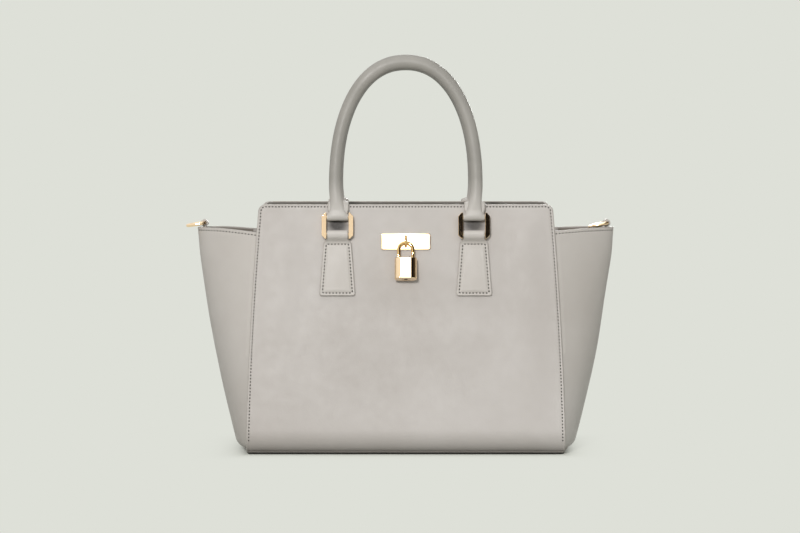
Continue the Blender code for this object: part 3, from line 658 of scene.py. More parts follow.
def tube(shell, points, radius, sides, closed=False):
    """Round wire along points, whose thickness may change from point to point."""
    count = len(points)
    radii = radius if isinstance(radius, list) else [radius] * count
    ways = []
    for k in range(count):
        before = points[k - 1] if closed or k else points[0]
        after = points[(k + 1) % count] if closed or k < count - 1 else points[-1]
        ways.append((after - before).normalized())
    side = ways[0].orthogonal().normalized()
    rows = []
    for point, way, size in zip(points, ways, radii):
        side = (side - way * side.dot(way)).normalized()
        other = way.cross(side)
        rows.append([point + (side * math.cos(a) + other * math.sin(a)) * size for a in turns(sides)])
    if closed:
        shell.grid(rows + rows[:1], closed=True)
    else:
        shell.loft(rows)


def smooth_line(knots, per_span):
    """Rounded line through points of any size, as tuples."""
    line = []
    for k in range(len(knots) - 1):
        before = knots[max(k - 1, 0)]
        a, b = knots[k], knots[k + 1]
        after = knots[min(k + 2, len(knots) - 1)]
        for step in range(per_span):
            t = step / per_span
            line.append(tuple(0.5 * (2 * q + (r - p) * t + (2 * p - 5 * q + 4 * r - s) * t ** 2
                                     + (3 * q - p - 3 * r + s) * t ** 3)
                              for p, q, r, s in zip(before, a, b, after)))
    line.append(tuple(knots[-1]))
    return line


# The two broad faces among the 16 round a ribbon
BROAD_FACES = (3, 11)


def ribbon(shell, matrix, line, half_width, thickness, edge):
    """Flat strap along a line in the matrix's YZ plane, as wide as half_width(share) each way."""
    section = []
    for sign_a, sign_b, first in ((1, 1, 0.0), (-1, 1, math.pi / 2), (-1, -1, math.pi), (1, -1, 4.7124)):
        for k in range(4):
            a = first + math.pi / 2 * k / 3
            section.append((sign_a, sign_b, math.cos(a), math.sin(a)))
    rows = []
    count = len(line)
    for j, (y, z) in enumerate(line):
        before, after = line[max(j - 1, 0)], line[min(j + 1, count - 1)]
        way = Vector((0, after[0] - before[0], after[1] - before[1])).normalized()
        flat = Vector((1, 0, 0)).cross(way)
        width = half_width(j / (count - 1))
        row = []
        for sign_a, sign_b, c, s in section:
            x = sign_a * (width - edge) + c * edge
            out = sign_b * (thickness / 2 - edge) + s * edge
            row.append(matrix @ (Vector((x, y, z)) + flat * out))
        rows.append(row)
    looks = [0 if k % len(section) in BROAD_FACES else 1 for k in range((count - 1) * len(section))]
    shell.loft(rows, looks, 1)


# Shape formulas of the body

def panel_half_width(z):
    share = z / BODY_HEIGHT
    return BASE_HALF_WIDTH - PANEL_TAPER * share - PANEL_BOW * share ** 2


def wall_y(z, depth):
    """Distance from the middle plane to a panel's layer at a height."""
    radius = BOTTOM_ROLL - depth
    if z > BOTTOM_ROLL + radius * math.sin(LEAN):
        face = TOP_HALF_DEPTH + (BODY_HEIGHT - z) * math.tan(LEAN)
        return face - depth / math.cos(LEAN)
    reach = radius ** 2 - (BOTTOM_ROLL - z) ** 2
    return ROLL_CENTRE + math.sqrt(max(0.0, reach))


def wall_spot(v, depth):
    """Distance from the middle plane and height, v along the outer face from the floor."""
    if v < ROLL_LENGTH:
        angle = v / BOTTOM_ROLL
        radius = BOTTOM_ROLL - depth
        return ROLL_CENTRE + radius * math.sin(angle), BOTTOM_ROLL - radius * math.cos(angle)
    drop = WALL_LENGTH - v
    y = TOP_HALF_DEPTH + drop * math.sin(LEAN) - depth * math.cos(LEAN)
    z = BODY_HEIGHT - drop * math.cos(LEAN) - depth * math.sin(LEAN)
    return y, z


def side_turn(side):
    return Matrix.Rotation(math.pi if side in ("back", "left") else 0.0, 4, "Z")


def face_frame(side, x, drop, standoff=0.0):
    """Frame on a panel's outer face: X across, Y inward, Z up along the face."""
    y, z = wall_spot(WALL_LENGTH - drop, -standoff)
    spot = Matrix.Translation((x, -y, z)) @ Matrix.Rotation(-LEAN, 4, "X")
    return side_turn(side) @ spot


def crease_x(z):
    share = z / WING_HEIGHT
    straight = BASE_HALF_WIDTH + WING_BASE_BULGE + (WING_SPREAD - WING_BASE_BULGE) * share
    return straight + 4 * WING_BOW * share * (1 - share)


def wing_spot(v, w):
    """Point on the right wing's outer side: v from front seam to back seam, w from floor to top."""
    if w <= 1:
        angle = math.pi / 2 * w
        z = WING_FLOOR + WING_ROLL * (1 - math.cos(angle))
        inset = WING_ROLL * (1 - math.sin(angle))
    else:
        start = WING_FLOOR + WING_ROLL
        z = start + (WING_HEIGHT - start) * (w - 1)
        inset = 0.0
    share = z / WING_HEIGHT
    fullness = WING_FULLNESS_BASE + (WING_FULLNESS_TOP - WING_FULLNESS_BASE) * share
    seam = panel_half_width(z)
    x = seam + (crease_x(z) - seam) * (1 - abs(v) ** fullness) - inset
    return Vector((x, v * wall_y(z, SEAM_DEPTH), z))


def wing_inside(v, w, depth):
    """Point at a depth behind the right wing's outer side."""
    small = 1e-4
    along = wing_spot(min(v + small, 1), w) - wing_spot(max(v - small, -1), w)
    up = wing_spot(v, min(w + small, 2)) - wing_spot(v, max(w - small, 0))
    return wing_spot(v, w) - along.cross(up).normalized() * depth


def lining_half_width(z):
    clear = WING_LEATHER + 2 * GAP
    inset = SEAM_DEPTH + WING_LEATHER
    rise = WING_FLOOR + WING_ROLL - z
    if rise > 0:
        reach = max(0.0, (WING_ROLL - clear) ** 2 - rise ** 2)
        inset = max(inset, WING_ROLL - math.sqrt(reach))
    return panel_half_width(z) - inset


def clouded(x, v, size, seed):
    """Slow wave from -1 to 1."""
    return noise.noise(Vector((x / size, v / size, seed)))


# Walls

CRISP_CORNER = 0.0005
CLOTH_EDGE = 0.0002
PANEL_SWELL = 0.0012
PANEL_WAVE = 0.0006
PANEL_WAVE_LENGTH = 0.075
SWELL_MARGIN = 0.035
HARDWARE_HALF_WIDTH = 0.092
HARDWARE_DROP = 0.098
HARDWARE_MARGIN = 0.03
SEAM_END = 0.024


def wall_surface(side):
    turn = side_turn(side)

    def surface(x, v, depth):
        y, z = wall_spot(v, depth)
        return turn @ Vector((x, -y, z))
    return surface


def half_at(v):
    return panel_half_width(wall_spot(v, 0.0)[1])


def panel_relief(seed):
    """How far a panel swells between its seams, away from its tabs and lock."""
    def relief(x, v, inset):
        drop = WALL_LENGTH - v
        inward = ease(inset / SWELL_MARGIN)
        clear = max(ease((abs(x) - HARDWARE_HALF_WIDTH) / HARDWARE_MARGIN),
                    ease((drop - HARDWARE_DROP) / HARDWARE_MARGIN))
        swell = PANEL_SWELL * inward * clear
        wave = PANEL_WAVE * clouded(x, v, PANEL_WAVE_LENGTH, seed) * inward * clear
        return groove(inset) + swell + wave
    return relief


def make_panels():
    for side, seed in (("front", 3.1), ("back", 8.7)):
        surface = wall_surface(side)
        low = ROLL_LENGTH * 0.02
        relief = panel_relief(seed)
        shell = cut_piece(half_at, low, WALL_LENGTH, (CRISP_CORNER, PANEL_CORNER), surface, PANEL_LEATHER,
                          relief, SEAM_LEVELS + [6.5 * MM], eased_steps(74, 0.3), eased_steps(64, 0.3), 8)
        shell.piece(side + "_panel_leather", "bag", "grey_leather", [PANEL_LOOK, EDGE],
                    [side + "_panel"])
        line = border_loop(half_at, low, WALL_LENGTH, (CRISP_CORNER, PANEL_CORNER), SEAM_INSET,
                           steps(90), steps(90), 10)
        path = [(surface(x, v, -relief(x, v, SEAM_INSET)), outward_at(surface, x, v))
                for x, v in line if v > SEAM_END]
        sew(side + "_panel_stitches", [path], "bag")


FACING_SEAM = 0.0025


def make_facings():
    for side, seed in (("front", 4.4), ("back", 6.2)):
        turn = side_turn(side)
        bottom = WALL_LENGTH - FACING_HEIGHT

        def surface(x, v, depth):
            y, z = wall_spot(v, FACING_BACK - depth)
            return turn @ Vector((-x, -y, z))

        def half(v):
            return lining_half_width(wall_spot(v, LINING_DEPTH)[1])

        def relief(x, v, inset):
            return groove(inset, FACING_SEAM, 0.00016)
        shell = cut_piece(half, bottom, WALL_LENGTH, (CRISP_CORNER, PANEL_CORNER / 2), surface,
                          FACING_LEATHER, relief, SEAM_LEVELS, eased_steps(50, 0.3), eased_steps(8),
                          edge_look=0)
        # The facing takes the darker leather, as painted shade.
        shell.piece(side + "_facing_leather", "bag", "grey_leather", [SHADED_LEATHER],
                    [side + "_facing"])
        runs = []
        for v in (bottom + FACING_SEAM, WALL_LENGTH - FACING_SEAM):
            reach = half(v) - 4 * MM
            spots = [lerp(-reach, reach, t) for t in steps(80)]
            runs.append([(surface(x, v, -relief(x, v, FACING_SEAM)), outward_at(surface, x, v))
                         for x in spots])
        sew(side + "_facing_stitches", runs, "bag")

        def low_surface(x, v, depth):
            y, z = wall_spot(v, LINING_DEPTH + LINING - depth)
            return turn @ Vector((-x, -y, z))

        def fold(x, v, inset):
            inward = ease(inset / 0.03)
            hang = 1.2 * MM * clouded(x * 1.6, v, 0.05, seed) + 0.9 * MM
            return inward * max(hang, 0.0)
        shell = cut_piece(half, 0.0, bottom - GAP, (CRISP_CORNER, CRISP_CORNER), low_surface, LINING, fold,
                          [2 * MM, 5 * MM, 12 * MM], eased_steps(60, 0.2), eased_steps(50, 0.2), 2,
                          edge_look=0, soft_edge=CLOTH_EDGE)
        shell.piece(side + "_lining_cloth", "bag", "lining_cloth", [CLOTH], [side + "_lining"])


def make_top_strips():
    """Sealed edge between the outer leather and the facing, over the stiffener, in the darker leather as
    painted shade.
    """
    near = PANEL_LEATHER * 0.55
    far = LINING_DEPTH + FACING_LEATHER * 0.45
    reach = panel_half_width(BODY_HEIGHT) - WING_SEAM - 2 * GAP
    for side in ("front", "back"):
        surface = wall_surface(side)
        shell = Shell()
        rows = []
        for share in steps(60):
            x = lerp(-reach, reach, share)
            row = []
            for depth, drop in ((near, 1.6), (near, 0.35), (near + 0.25 * MM, 0.12), (far - 0.25 * MM, 0.12),
                                (far, 0.35), (far, 1.6)):
                row.append(surface(x, WALL_LENGTH - drop * MM, depth))
            rows.append(row)
        shell.loft(rows)
        shell.piece(side + "_top_edge", "bag", "grey_leather", [SHADED_LEATHER])


# Wings

WING_SEAM_INSET = 0.0030
WING_SWELL = 0.0008
WING_WAVE = 0.0014
WING_WAVE_LENGTH = 0.07
WING_SAG = {"left": 0.0034, "right": 0.0020}
WING_SAG_START = 0.50
WING_SPAN = WING_HEIGHT - WING_FLOOR - WING_ROLL


def wing_proud(v, z, inset, seed):
    """How far the wing's leather swells out of its plain shape."""
    body = ease((1 - abs(v)) / 0.35) * ease(inset / 0.03) * ease(z / 0.05)
    swell = (WING_SWELL + WING_WAVE * clouded(v * 0.08, z, WING_WAVE_LENGTH, seed)) * body
    return swell + groove(inset, WING_SEAM_INSET)


def sagged(side, spot, v):
    """The wing's top edge hangs lower beside the panels than at its crease."""
    beside = max(0.0, (abs(v) - WING_SAG_START) / (1 - WING_SAG_START)) ** 1.6
    share = ease((spot.z / WING_HEIGHT - 0.7) / 0.3) * beside
    return side_turn(side) @ Vector((spot.x, spot.y, spot.z - WING_SAG[side] * share))


def wing_rows(top_insets, rows):
    """Levels up a wing with the distance of each from the top edge."""
    last = max(top_insets)
    middle = [1 + (1 - last / WING_SPAN) * t for t in steps(rows)][:-1]
    high = [2 - e / WING_SPAN for e in sorted(top_insets, reverse=True)]
    return [(w, max(0.0, (2 - w) * WING_SPAN)) for w in steps(8)[:-1] + middle + high]


def wing_columns(count=44):
    """Shares from the front seam at -1 to the back seam at 1, closer together at the crease."""
    shares = [2 * k / count - 1 for k in range(count + 1)]
    return [share * abs(share) ** 0.25 for share in shares]


def make_wings():
    radius = WING_LEATHER / 2
    rows = wing_rows(edge_bends(radius) + SEAM_LEVELS + [9 * MM, 14 * MM], 44)
    for side, seed in (("right", 2.3), ("left", 7.9)):
        turn = side_turn(side)
        shell = Shell()
        outer, inner = [], []
        for w, inset in rows:
            fall = rounding(inset, radius)
            z = wing_spot(0, w).z
            allowance = panel_half_width(z) - WING_SEAM
            out_row, in_row = [], []
            for v in wing_columns():
                proud = wing_proud(v, z, inset, seed)
                out_row.append(sagged(side, wing_inside(v, w, fall - proud), v))
                in_row.append(sagged(side, wing_inside(v, w, WING_LEATHER - fall - proud * 0.8), v))
            for row, depth in ((out_row, SEAM_DEPTH + fall), (in_row, SEAM_DEPTH + WING_LEATHER - fall)):
                y = wall_y(z, depth)
                row.insert(0, sagged(side, Vector((allowance, -y, z)), 1))
                row.append(sagged(side, Vector((allowance, y, z)), 1))
            outer.append(out_row)
            inner.append(in_row)
        width = len(outer[0]) - 1
        painted = len(rows) - len(EDGE_ANGLES)
        looks = [1 if k // width >= painted else 0 for k in range((len(rows) - 1) * width)]
        shell.grid(outer, looks)
        shell.grid(inner, looks)
        shell.grid([outer[-1], inner[-1]], 1)
        shell.grid([outer[0], inner[0]], 1)
        for end in (0, -1):
            shell.grid([[row[end] for row in outer], [row[end] for row in inner]], 1)
        shell.piece(side + "_wing_leather", "bag", "grey_leather", [LEATHER, EDGE], [side + "_wing"],
                    merge=2e-6)
        level = 2 - WING_SEAM_INSET / WING_SPAN
        path = []
        for share in steps(160):
            v = lerp(-0.985, 0.985, share)
            proud = wing_proud(v, WING_HEIGHT, WING_SEAM_INSET, seed)
            outside = wing_inside(v, level, -proud)
            outward = (outside - wing_inside(v, level, MM)).normalized()
            path.append((sagged(side, outside, v), turn.to_3x3() @ outward))
        sew(side + "_wing_stitches", [path], "bag", WING_PITCH)


def make_wing_linings():
    top = 2 - WING_LINING_DROP / WING_SPAN
    levels = steps(8)[:-1] + [lerp(1, top, t) for t in steps(40)]
    for side, seed in (("right", 5.3), ("left", 9.9)):
        shell = Shell()
        near, far = [], []
        for w in levels:
            z = wing_spot(0, w).z
            limit = (wall_y(z, FACING_BACK + GAP) - GAP) / wall_y(z, SEAM_DEPTH)
            near_row, far_row = [], []
            for v in wing_columns(36):
                clear = max(-limit, min(limit, v))
                hang = ease((top - w) / 0.2) * ease(z / 0.06) * ease((limit - abs(clear)) / 0.4)
                fold = max(0.0, 1.6 * MM * clouded(v * 0.1, z, 0.045, seed) + 1.0 * MM) * hang
                depth = WING_LINING_DEPTH + LINING + fold
                far_row.append(sagged(side, wing_inside(clear, w, WING_LINING_DEPTH), clear))
                near_row.append(sagged(side, wing_inside(clear, w, depth), clear))
            near.append(near_row)
            far.append(far_row)
        shell.grid(near)
        shell.grid(far)
        for end in (0, -1):
            shell.grid([near[end], far[end]])
            shell.grid([[row[end] for row in near], [row[end] for row in far]])
        shell.piece(side + "_wing_lining_cloth", "bag", "lining_cloth", [CLOTH],
                    [side + "_wing_lining"], merge=2e-6)


# Base

BASE_CORNERS = (0.002, 0.002)


def base_half(end_inset):
    def half(v):
        return wing_spot(v / ROLL_CENTRE, 0).x + WING_ROLL - end_inset
    return half


def make_base():
    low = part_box("base_leather")
    cloth_low, cloth_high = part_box("base_lining")
    reach = ROLL_CENTRE - GAP

    def under(x, v, depth):
        return Vector((-x, v, low[0].z + depth))
    shell = cut_piece(base_half(BASE_INSET), -reach, reach, BASE_CORNERS, under, BASE_LEATHER, None,
                      SEAM_LEVELS, eased_steps(50, 0.2), eased_steps(20))
    shell.piece("base_sheet", "bag", "grey_leather", [LEATHER, EDGE], ["base_leather"])

    def upper(x, v, depth):
        return Vector((x, v, cloth_high.z - depth))

    def fold(x, v, inset):
        return 0.5 * MM * ease(inset / 0.02) * (1 + clouded(x, v, 0.05, 1.7))
    shell = cut_piece(base_half(WING_ROLL), -reach, reach, BASE_CORNERS, upper,
                      cloth_high.z - cloth_low.z, fold, [2 * MM, 6 * MM], eased_steps(60, 0.2),
                      eased_steps(26), 3, edge_look=0, soft_edge=CLOTH_EDGE)
    shell.piece("base_lining_cloth", "bag", "lining_cloth", [CLOTH], ["base_lining"])


WELT_REACH = 0.0665
WELT_TOP = 0.0026
WELT_LOW = 0.0011


def make_welts():
    """Thin leather welt that shows under each panel's bottom roll, in the darker leather as painted shade;
    its underside down to the floor is painted near-black, a painted contact shadow.
    """
    def roll(y):
        return BOTTOM_ROLL - math.sqrt(BOTTOM_ROLL ** 2 - (y - ROLL_CENTRE) ** 2)
    edge = 0.3 * MM
    inner = ROLL_CENTRE + 4 * MM
    section = [(inner, roll(inner) * 0.6), (WELT_REACH - 4 * MM, roll(WELT_REACH - 4 * MM) - 0.2 * MM),
               (WELT_REACH - 2 * edge, WELT_TOP), (WELT_REACH - edge, WELT_TOP - 0.1 * MM),
               (WELT_REACH, WELT_TOP - edge), (WELT_REACH, WELT_LOW + edge),
               (WELT_REACH - edge, WELT_LOW), (WELT_REACH - 1.6 * MM, WELT_LOW),
               (WELT_REACH - 1.8 * MM, WELT_LOW - 0.2 * MM), (WELT_REACH - 1.8 * MM, 0.0), (inner, 0.0)]
    reach = BASE_HALF_WIDTH - 2 * MM
    looks = [0] * 6 + [1] * 5
    for side in ("front", "back"):
        turn = side_turn(side)
        shell = Shell()
        rows = [[turn @ Vector((lerp(-reach, reach, t), -y, z)) for y, z in section] for t in steps(40)]
        shell.loft(rows, looks * 40)
        shell.piece(side + "_base_welt", "bag", "grey_leather", [SHADED_LEATHER, SHADE_LOOK])


# Tabs that hold the rings

TAB_DOME = 0.0013
TAB_SEAM = 0.0028
TAB_SEAM_CORNER = 0.0044
TAB_GROOVE = 0.00028
SHOULDER_LOW = -0.0030
SHOULDER_HIGH = 0.0040


def patch_half(v):
    return lerp(TAB_TOP_WIDTH, TAB_BOTTOM_WIDTH, -v / TAB_LENGTH) / 2


def tab_half(v):
    """Half width along the tab's leather, whose patch narrows to the strap over its shoulders."""
    narrowed = ease((v - SHOULDER_LOW) / (SHOULDER_HIGH - SHOULDER_LOW))
    return lerp(patch_half(v), TAB_STRAP_WIDTH / 2, narrowed)


def tab_line():
    """Middle line of a tab's leather, up its patch and over the ring's bar: outward and up."""
    rise = TAB_DROP - RING_DROP
    middle = RING_BAR / 2 + GAP + TAB_STRAP_THICKNESS / 2
    leg = GAP + TAB_THICKNESS - TAB_STRAP_THICKNESS / 2
    patch = [(leg, lerp(-TAB_LENGTH, -7.0 * MM, t)) for t in steps(8)]
    front = [(leg + 0.15 * MM, -2.8 * MM), (leg + 1.6 * MM, 0.1 * MM),
             (RING_STANDOFF + middle * 0.66, rise - middle * 1.02)]
    arc = []
    for k in range(12):
        a = lerp(-0.25, math.pi, k / 11)
        arc.append((RING_STANDOFF + middle * math.cos(a), rise + middle * math.sin(a)))
    back = [(GAP + 0.9 * MM, 1.5 * MM), (GAP + 0.9 * MM, -5.0 * MM)]
    return smooth_line(patch + front + arc + back, 5)


def tab_lengths(line):
    """Length along the tab's line at each of its points, 0 at the patch's top edge."""
    lengths = [-TAB_LENGTH]
    for (a, b), (c, d) in zip(line, line[1:]):
        lengths.append(lengths[-1] + math.hypot(c - a, d - b))
    return lengths


def patch_relief(u, v, inset):
    """Domed patch inside its seam, and a flat strap above it."""
    along = (v + TAB_LENGTH / 2) / (TAB_LENGTH / 2)
    across = u / patch_half(v)
    dome = max(0.0, 1 - across ** 2) * max(0.0, 1 - along ** 2) ** 0.7
    inside = min(inset, -v)
    return groove(inside, TAB_SEAM, TAB_GROOVE) + TAB_DOME * dome * ease((inside - TAB_SEAM) / (3 * MM))


def ring_places(drop, standoff=0.0):
    """Side, name and frame of the four places that have a ring and its tab."""
    for side, facing in (("front", 1), ("back", -1)):
        for name, sign in (("left", -1), ("right", 1)):
            matrix = face_frame(side, facing * sign * RING_SPACING / 2, drop, standoff)
            yield side, side + "_" + name, matrix


def make_tabs():
    line = tab_line()
    lengths = tab_lengths(line)
    high = lengths[-1]
    bend = (TAB_LENGTH - 8 * MM) / (high + TAB_LENGTH)
    along = [lerp(0, bend, t) for t in steps(30)][:-1] + [lerp(bend, 1, t) for t in steps(64)]
    for _, place_name, matrix in ring_places(TAB_DROP):
        label = place_name + "_tab"

        def surface(u, v, depth):
            k = min(max(bisect.bisect_right(lengths, v) - 1, 0), len(line) - 2)
            share = (v - lengths[k]) / (lengths[k + 1] - lengths[k])
            (a, b), (c, d) = line[k], line[k + 1]
            run = math.hypot(c - a, d - b)
            lift = TAB_STRAP_THICKNESS / 2 - depth
            out = lerp(a, c, share) + (d - b) / run * lift
            up = lerp(b, d, share) - (c - a) / run * lift
            return matrix @ Vector((u, -out, up))
        shell = cut_piece(tab_half, -TAB_LENGTH, high, (TAB_CORNER, CRISP_CORNER), surface,
                          TAB_STRAP_THICKNESS, patch_relief, SEAM_LEVELS, eased_steps(18, 0.3), along)
        shell.piece(label + "_leather", "bag", "grey_leather", [LEATHER, EDGE], [label])
        loop = border_loop(patch_half, -TAB_LENGTH, 0.0, (TAB_SEAM_CORNER, TAB_SEAM_CORNER), TAB_SEAM,
                           steps(16), steps(30), 4)
        path = [(surface(u, v, -patch_relief(u, v, TAB_SEAM)), outward_at(surface, u, v))
                for u, v in loop + loop[:1]]
        sew(label + "_stitches", [path], "bag", TAB_PITCH, TAB_HOLE_WIDTH)


# Handles

def handle_matrix(side):
    """Frame on the line of a handle's two top bars, X across and Z up the handle."""
    lower = face_frame(side, 0, RING_DROP, RING_STANDOFF)
    top = lower @ Matrix.Translation((0, 0, RING_PITCH))
    return top @ Matrix.Rotation(LEAN - HANDLE_LEAN, 4, "X")


def foot_sections():
    """From the ring's bar up to the shoulder: height, half width, front depth and back depth."""
    loop = RING_BAR / 2 + GAP + LOOP_WALL
    wide = LOOP_WIDTH / 2
    end = HANDLE_END_RADIUS
    knots = [(-loop * 0.98, wide * 0.80, loop * 0.25, loop * 0.22),
             (-loop * 0.85, wide * 0.90, loop * 0.70, loop * 0.60),
             (-loop * 0.5, wide * 0.965, loop * 1.12, loop * 0.90),
             (0.0, wide * 0.985, loop * 1.38, loop),
             (1.8 * MM, wide * 0.94, loop * 1.46, loop),
             (3.6 * MM, wide * 0.85, loop * 1.38, loop * 0.96),
             (5.4 * MM, wide * 0.75, loop * 1.26, loop * 0.95),
             (7.2 * MM, wide * 0.70, loop * 1.26, loop * 0.95),
             (10.0 * MM, end * 1.10, loop * 1.40, loop),
             (13.5 * MM, end * 1.06, end * 0.92, loop * 1.2),
             (17.5 * MM, end * 1.02, end * 0.98, loop * 1.55),
             (22.0 * MM, end, end, end * 0.98),
             (HANDLE_SHOULDER, end, end, end)]
    return smooth_line(knots, 4)


def handle_path():
    """Left half of a handle's middle line above its shoulder: place, direction and radius."""
    spread = HANDLE_SPAN / 2
    rise = HANDLE_RISE - HANDLE_SHOULDER
    half = 44
    stations = []
    for k in range(half + 1):
        a = math.pi / 2 * k / half
        power = 2 / HANDLE_SQUARENESS
        x = -spread * max(math.cos(a), 0.0) ** power
        z = HANDLE_SHOULDER + rise * math.sin(a) ** power
        if k == 0:
            way = Vector((0, 0, 1))
        elif k == half:
            way = Vector((1, 0, 0))
        else:
            inner = abs(x / spread) ** (HANDLE_SQUARENESS - 1) / spread
            outer = ((z - HANDLE_SHOULDER) / rise) ** (HANDLE_SQUARENESS - 1) / rise
            way = Vector((outer, 0, inner)).normalized()
        radius = lerp(HANDLE_END_RADIUS, HANDLE_MIDDLE_RADIUS, math.sin(a) ** 2.2)
        stations.append((Vector((x, 0, z)), way, radius, radius, radius))
    return stations


HANDLE_SIDES = 36
SEAM_ANGLE = math.radians(130)
SEAM_SPREAD = 0.16
SEAM_DENT = 0.0004
SEAM_START = 0.025
STRAP_SHOULDER = 0.27
STRAP_SHIFT = 0.0006


def handle_stations():
    start, spread = RING_SPACING / 2, HANDLE_SPAN / 2
    left = []
    for z, width, front, back in foot_sections()[:-1]:
        x = -lerp(start, spread, ease(z / HANDLE_SHOULDER))
        left.append((Vector((x, 0, z)), Vector((0, 0, 1)), width, front, back))
    left += handle_path()
    right = [(Vector((-p.x, 0, p.z)), Vector((w.x, 0, -w.z)), a, b, c)
             for p, w, a, b, c in reversed(left[:-1])]
    return left + right


def handle_point(station, angle, dent=0.0):
    """Point on the handle: angle 0 inwards of the arch, 90 degrees to the back."""
    spot, way, width, front, back = station
    across = Vector((0, 1, 0)).cross(way)
    c, s = math.cos(angle), math.sin(angle)
    flat = width / max(front, 1e-6)
    square = 2 / lerp(2.0, 3.2, ease((flat - 1.1) / 1.2))
    u = math.copysign(abs(c) ** square, c) * (width - dent)
    v = math.copysign(abs(s) ** square, s) * ((back if s > 0 else front) - dent)
    return spot + across * u + Vector((0, 1, 0)) * v


def make_handles():
    stations = handle_stations()
    loop = RING_BAR / 2 + GAP + LOOP_WALL
    wide = LOOP_WIDTH / 2
    for side in ("front", "back"):
        matrix = handle_matrix(side)
        shell = Shell()
        rows = []
        for station in stations:
            started = ease((station[0].z - SEAM_START) / (3 * MM))
            row = []
            for a in turns(HANDLE_SIDES):
                away = abs((a - SEAM_ANGLE + math.pi) % (2 * math.pi) - math.pi)
                dent = SEAM_DENT * math.exp(-(away / SEAM_SPREAD) ** 2) * started
                row.append(matrix @ handle_point(station, a, dent))
            rows.append(row)
        shell.loft(rows)
        for sign in (-1, 1):
            centre = matrix @ Matrix.Translation((sign * RING_SPACING / 2, 0, 0))
            shifted = centre @ Matrix.Translation((STRAP_SHIFT, 0, 0))
            strap = [(0.8 * MM, 16.0 * MM), (0.95 * MM, 14.0 * MM), (1.15 * MM, 9.0 * MM),
                     (1.2 * MM, 4.0 * MM), (1.2 * MM, 0.0)]

            def narrow(share):
                within = 0.12 * ease((share - 0.55) / 0.2)
                return wide * (lerp(0.56, 0.99, ease(share / STRAP_SHOULDER)) - within)
            ribbon(shell, shifted, smooth_line(strap, 8), narrow, 3.0 * MM, 0.9 * MM)
            around = loop - LOOP_WALL / 2 - 0.25 * MM
            wrap = [(around * math.sin(2 * math.pi * t), around * math.cos(2 * math.pi * t))
                    for t in steps(32)]
            ribbon(shell, centre, wrap, lambda share: wide, LOOP_WALL, 0.5 * MM)
        shell.piece(side + "_handle_leather", side + "_handle", "grey_leather",
                    [HANDLE_LEATHER, EDGE], [side + "_handle"])
        path = []
        for station in stations:
            if station[0].z > SEAM_START + 3 * MM:
                point = handle_point(station, SEAM_ANGLE, SEAM_DENT)
                outward = (point - station[0]).normalized()
                path.append((matrix @ point, matrix.to_3x3() @ outward))
        sew(side + "_handle_stitches", [path], side + "_handle")


# Rings that carry the handles

def drawn_in(corners, inset):
    """Outline of a convex shape, given anticlockwise, with every side moved inward."""
    moved = []
    for k, (x, z) in enumerate(corners):
        before = Vector((x - corners[k - 1][0], z - corners[k - 1][1])).normalized()
        after = corners[(k + 1) % len(corners)]
        after = Vector((after[0] - x, after[1] - z)).normalized()
        inward = Vector((-before.y - after.y, before.x + after.x))
        reach = inset / (1 + before.dot(after))
        moved.append((x + inward.x * reach, z + inward.y * reach))
    return moved


RING_SOFTENING = 0.00008
SNAP_SOFTENING = 0.00018


def make_handle_rings():
    half = RING_WIDTH / 2 - RING_SIDE_WIDTH / 2
    width, height, cut, rise = RING_SIDE_WIDTH / 2, RING_HEIGHT / 2, RING_CUT, RING_CUT_HEIGHT
    depth = RING_SIDE_DEPTH / 2
    corners = [(-width, -height), (width - cut, -height), (width, rise - height),
               (width, height - rise), (width - cut, height), (-width, height)]
    mirrored = [(-x, z) for x, z in reversed(corners)]
    levels = [(-depth, RING_BEVEL), (RING_BEVEL - depth, 0.0), (depth - RING_BEVEL, 0.0), (depth, RING_BEVEL)]
    for side, place_name, matrix in ring_places(RING_DROP, RING_STANDOFF):
        shell = Shell()
        for sign, outline in ((1, corners), (-1, mirrored)):
            shell.loft([[matrix @ Vector((sign * half + u, y, w + RING_PITCH / 2))
                         for u, w in drawn_in(outline, inset)] for y, inset in levels])
        for z in (0.0, RING_PITCH):
            tube(shell, [matrix @ Vector((lerp(-half, half, t), 0, z)) for t in steps(6)],
                 RING_BAR / 2, 24)
        label = place_name + "_ring"
        made = shell.piece(label + "_metal", side + "_rings", "pale_gold", [GOLD], [label], 25.0)
        soften(made, RING_SOFTENING)


def soften(thing, width):
    """Narrow rounded edges that catch a line of light."""
    step = thing.modifiers.new("soft_edges", "BEVEL")
    step.width = width
    step.segments = 2
    step.limit_method = "ANGLE"
    step.angle_limit = math.radians(25)
    step.harden_normals = True


# Lock

FLAT_MARGIN = 0.00012


def make_plate():
    matrix = face_frame("front", 0, PLATE_DROP)
    shell = Shell()
    rows = [(-GAP - PLATE_THICKNESS, PLATE_RIM + FLAT_MARGIN)]
    for k in range(5):
        a = math.pi / 2 * k / 4
        inset = PLATE_RIM * (1 - math.sin(a))
        y = -GAP - PLATE_THICKNESS + PLATE_RIM * (1 - math.cos(a))
        rows.append((y, inset))
    rows.append((-GAP, 0.0))
    loops = []
    for y, inset in rows:
        section = rounded_section(PLATE_WIDTH / 2 - inset, PLATE_HEIGHT / 2 - inset, PLATE_CORNER - inset, 8)
        loops.append([matrix @ Vector((x, y, z)) for x, z in section])
    shell.loft(loops)
    shell.piece("lock_plate_metal", "bag", "pale_gold", [GOLD], ["lock_plate"], 20.0)


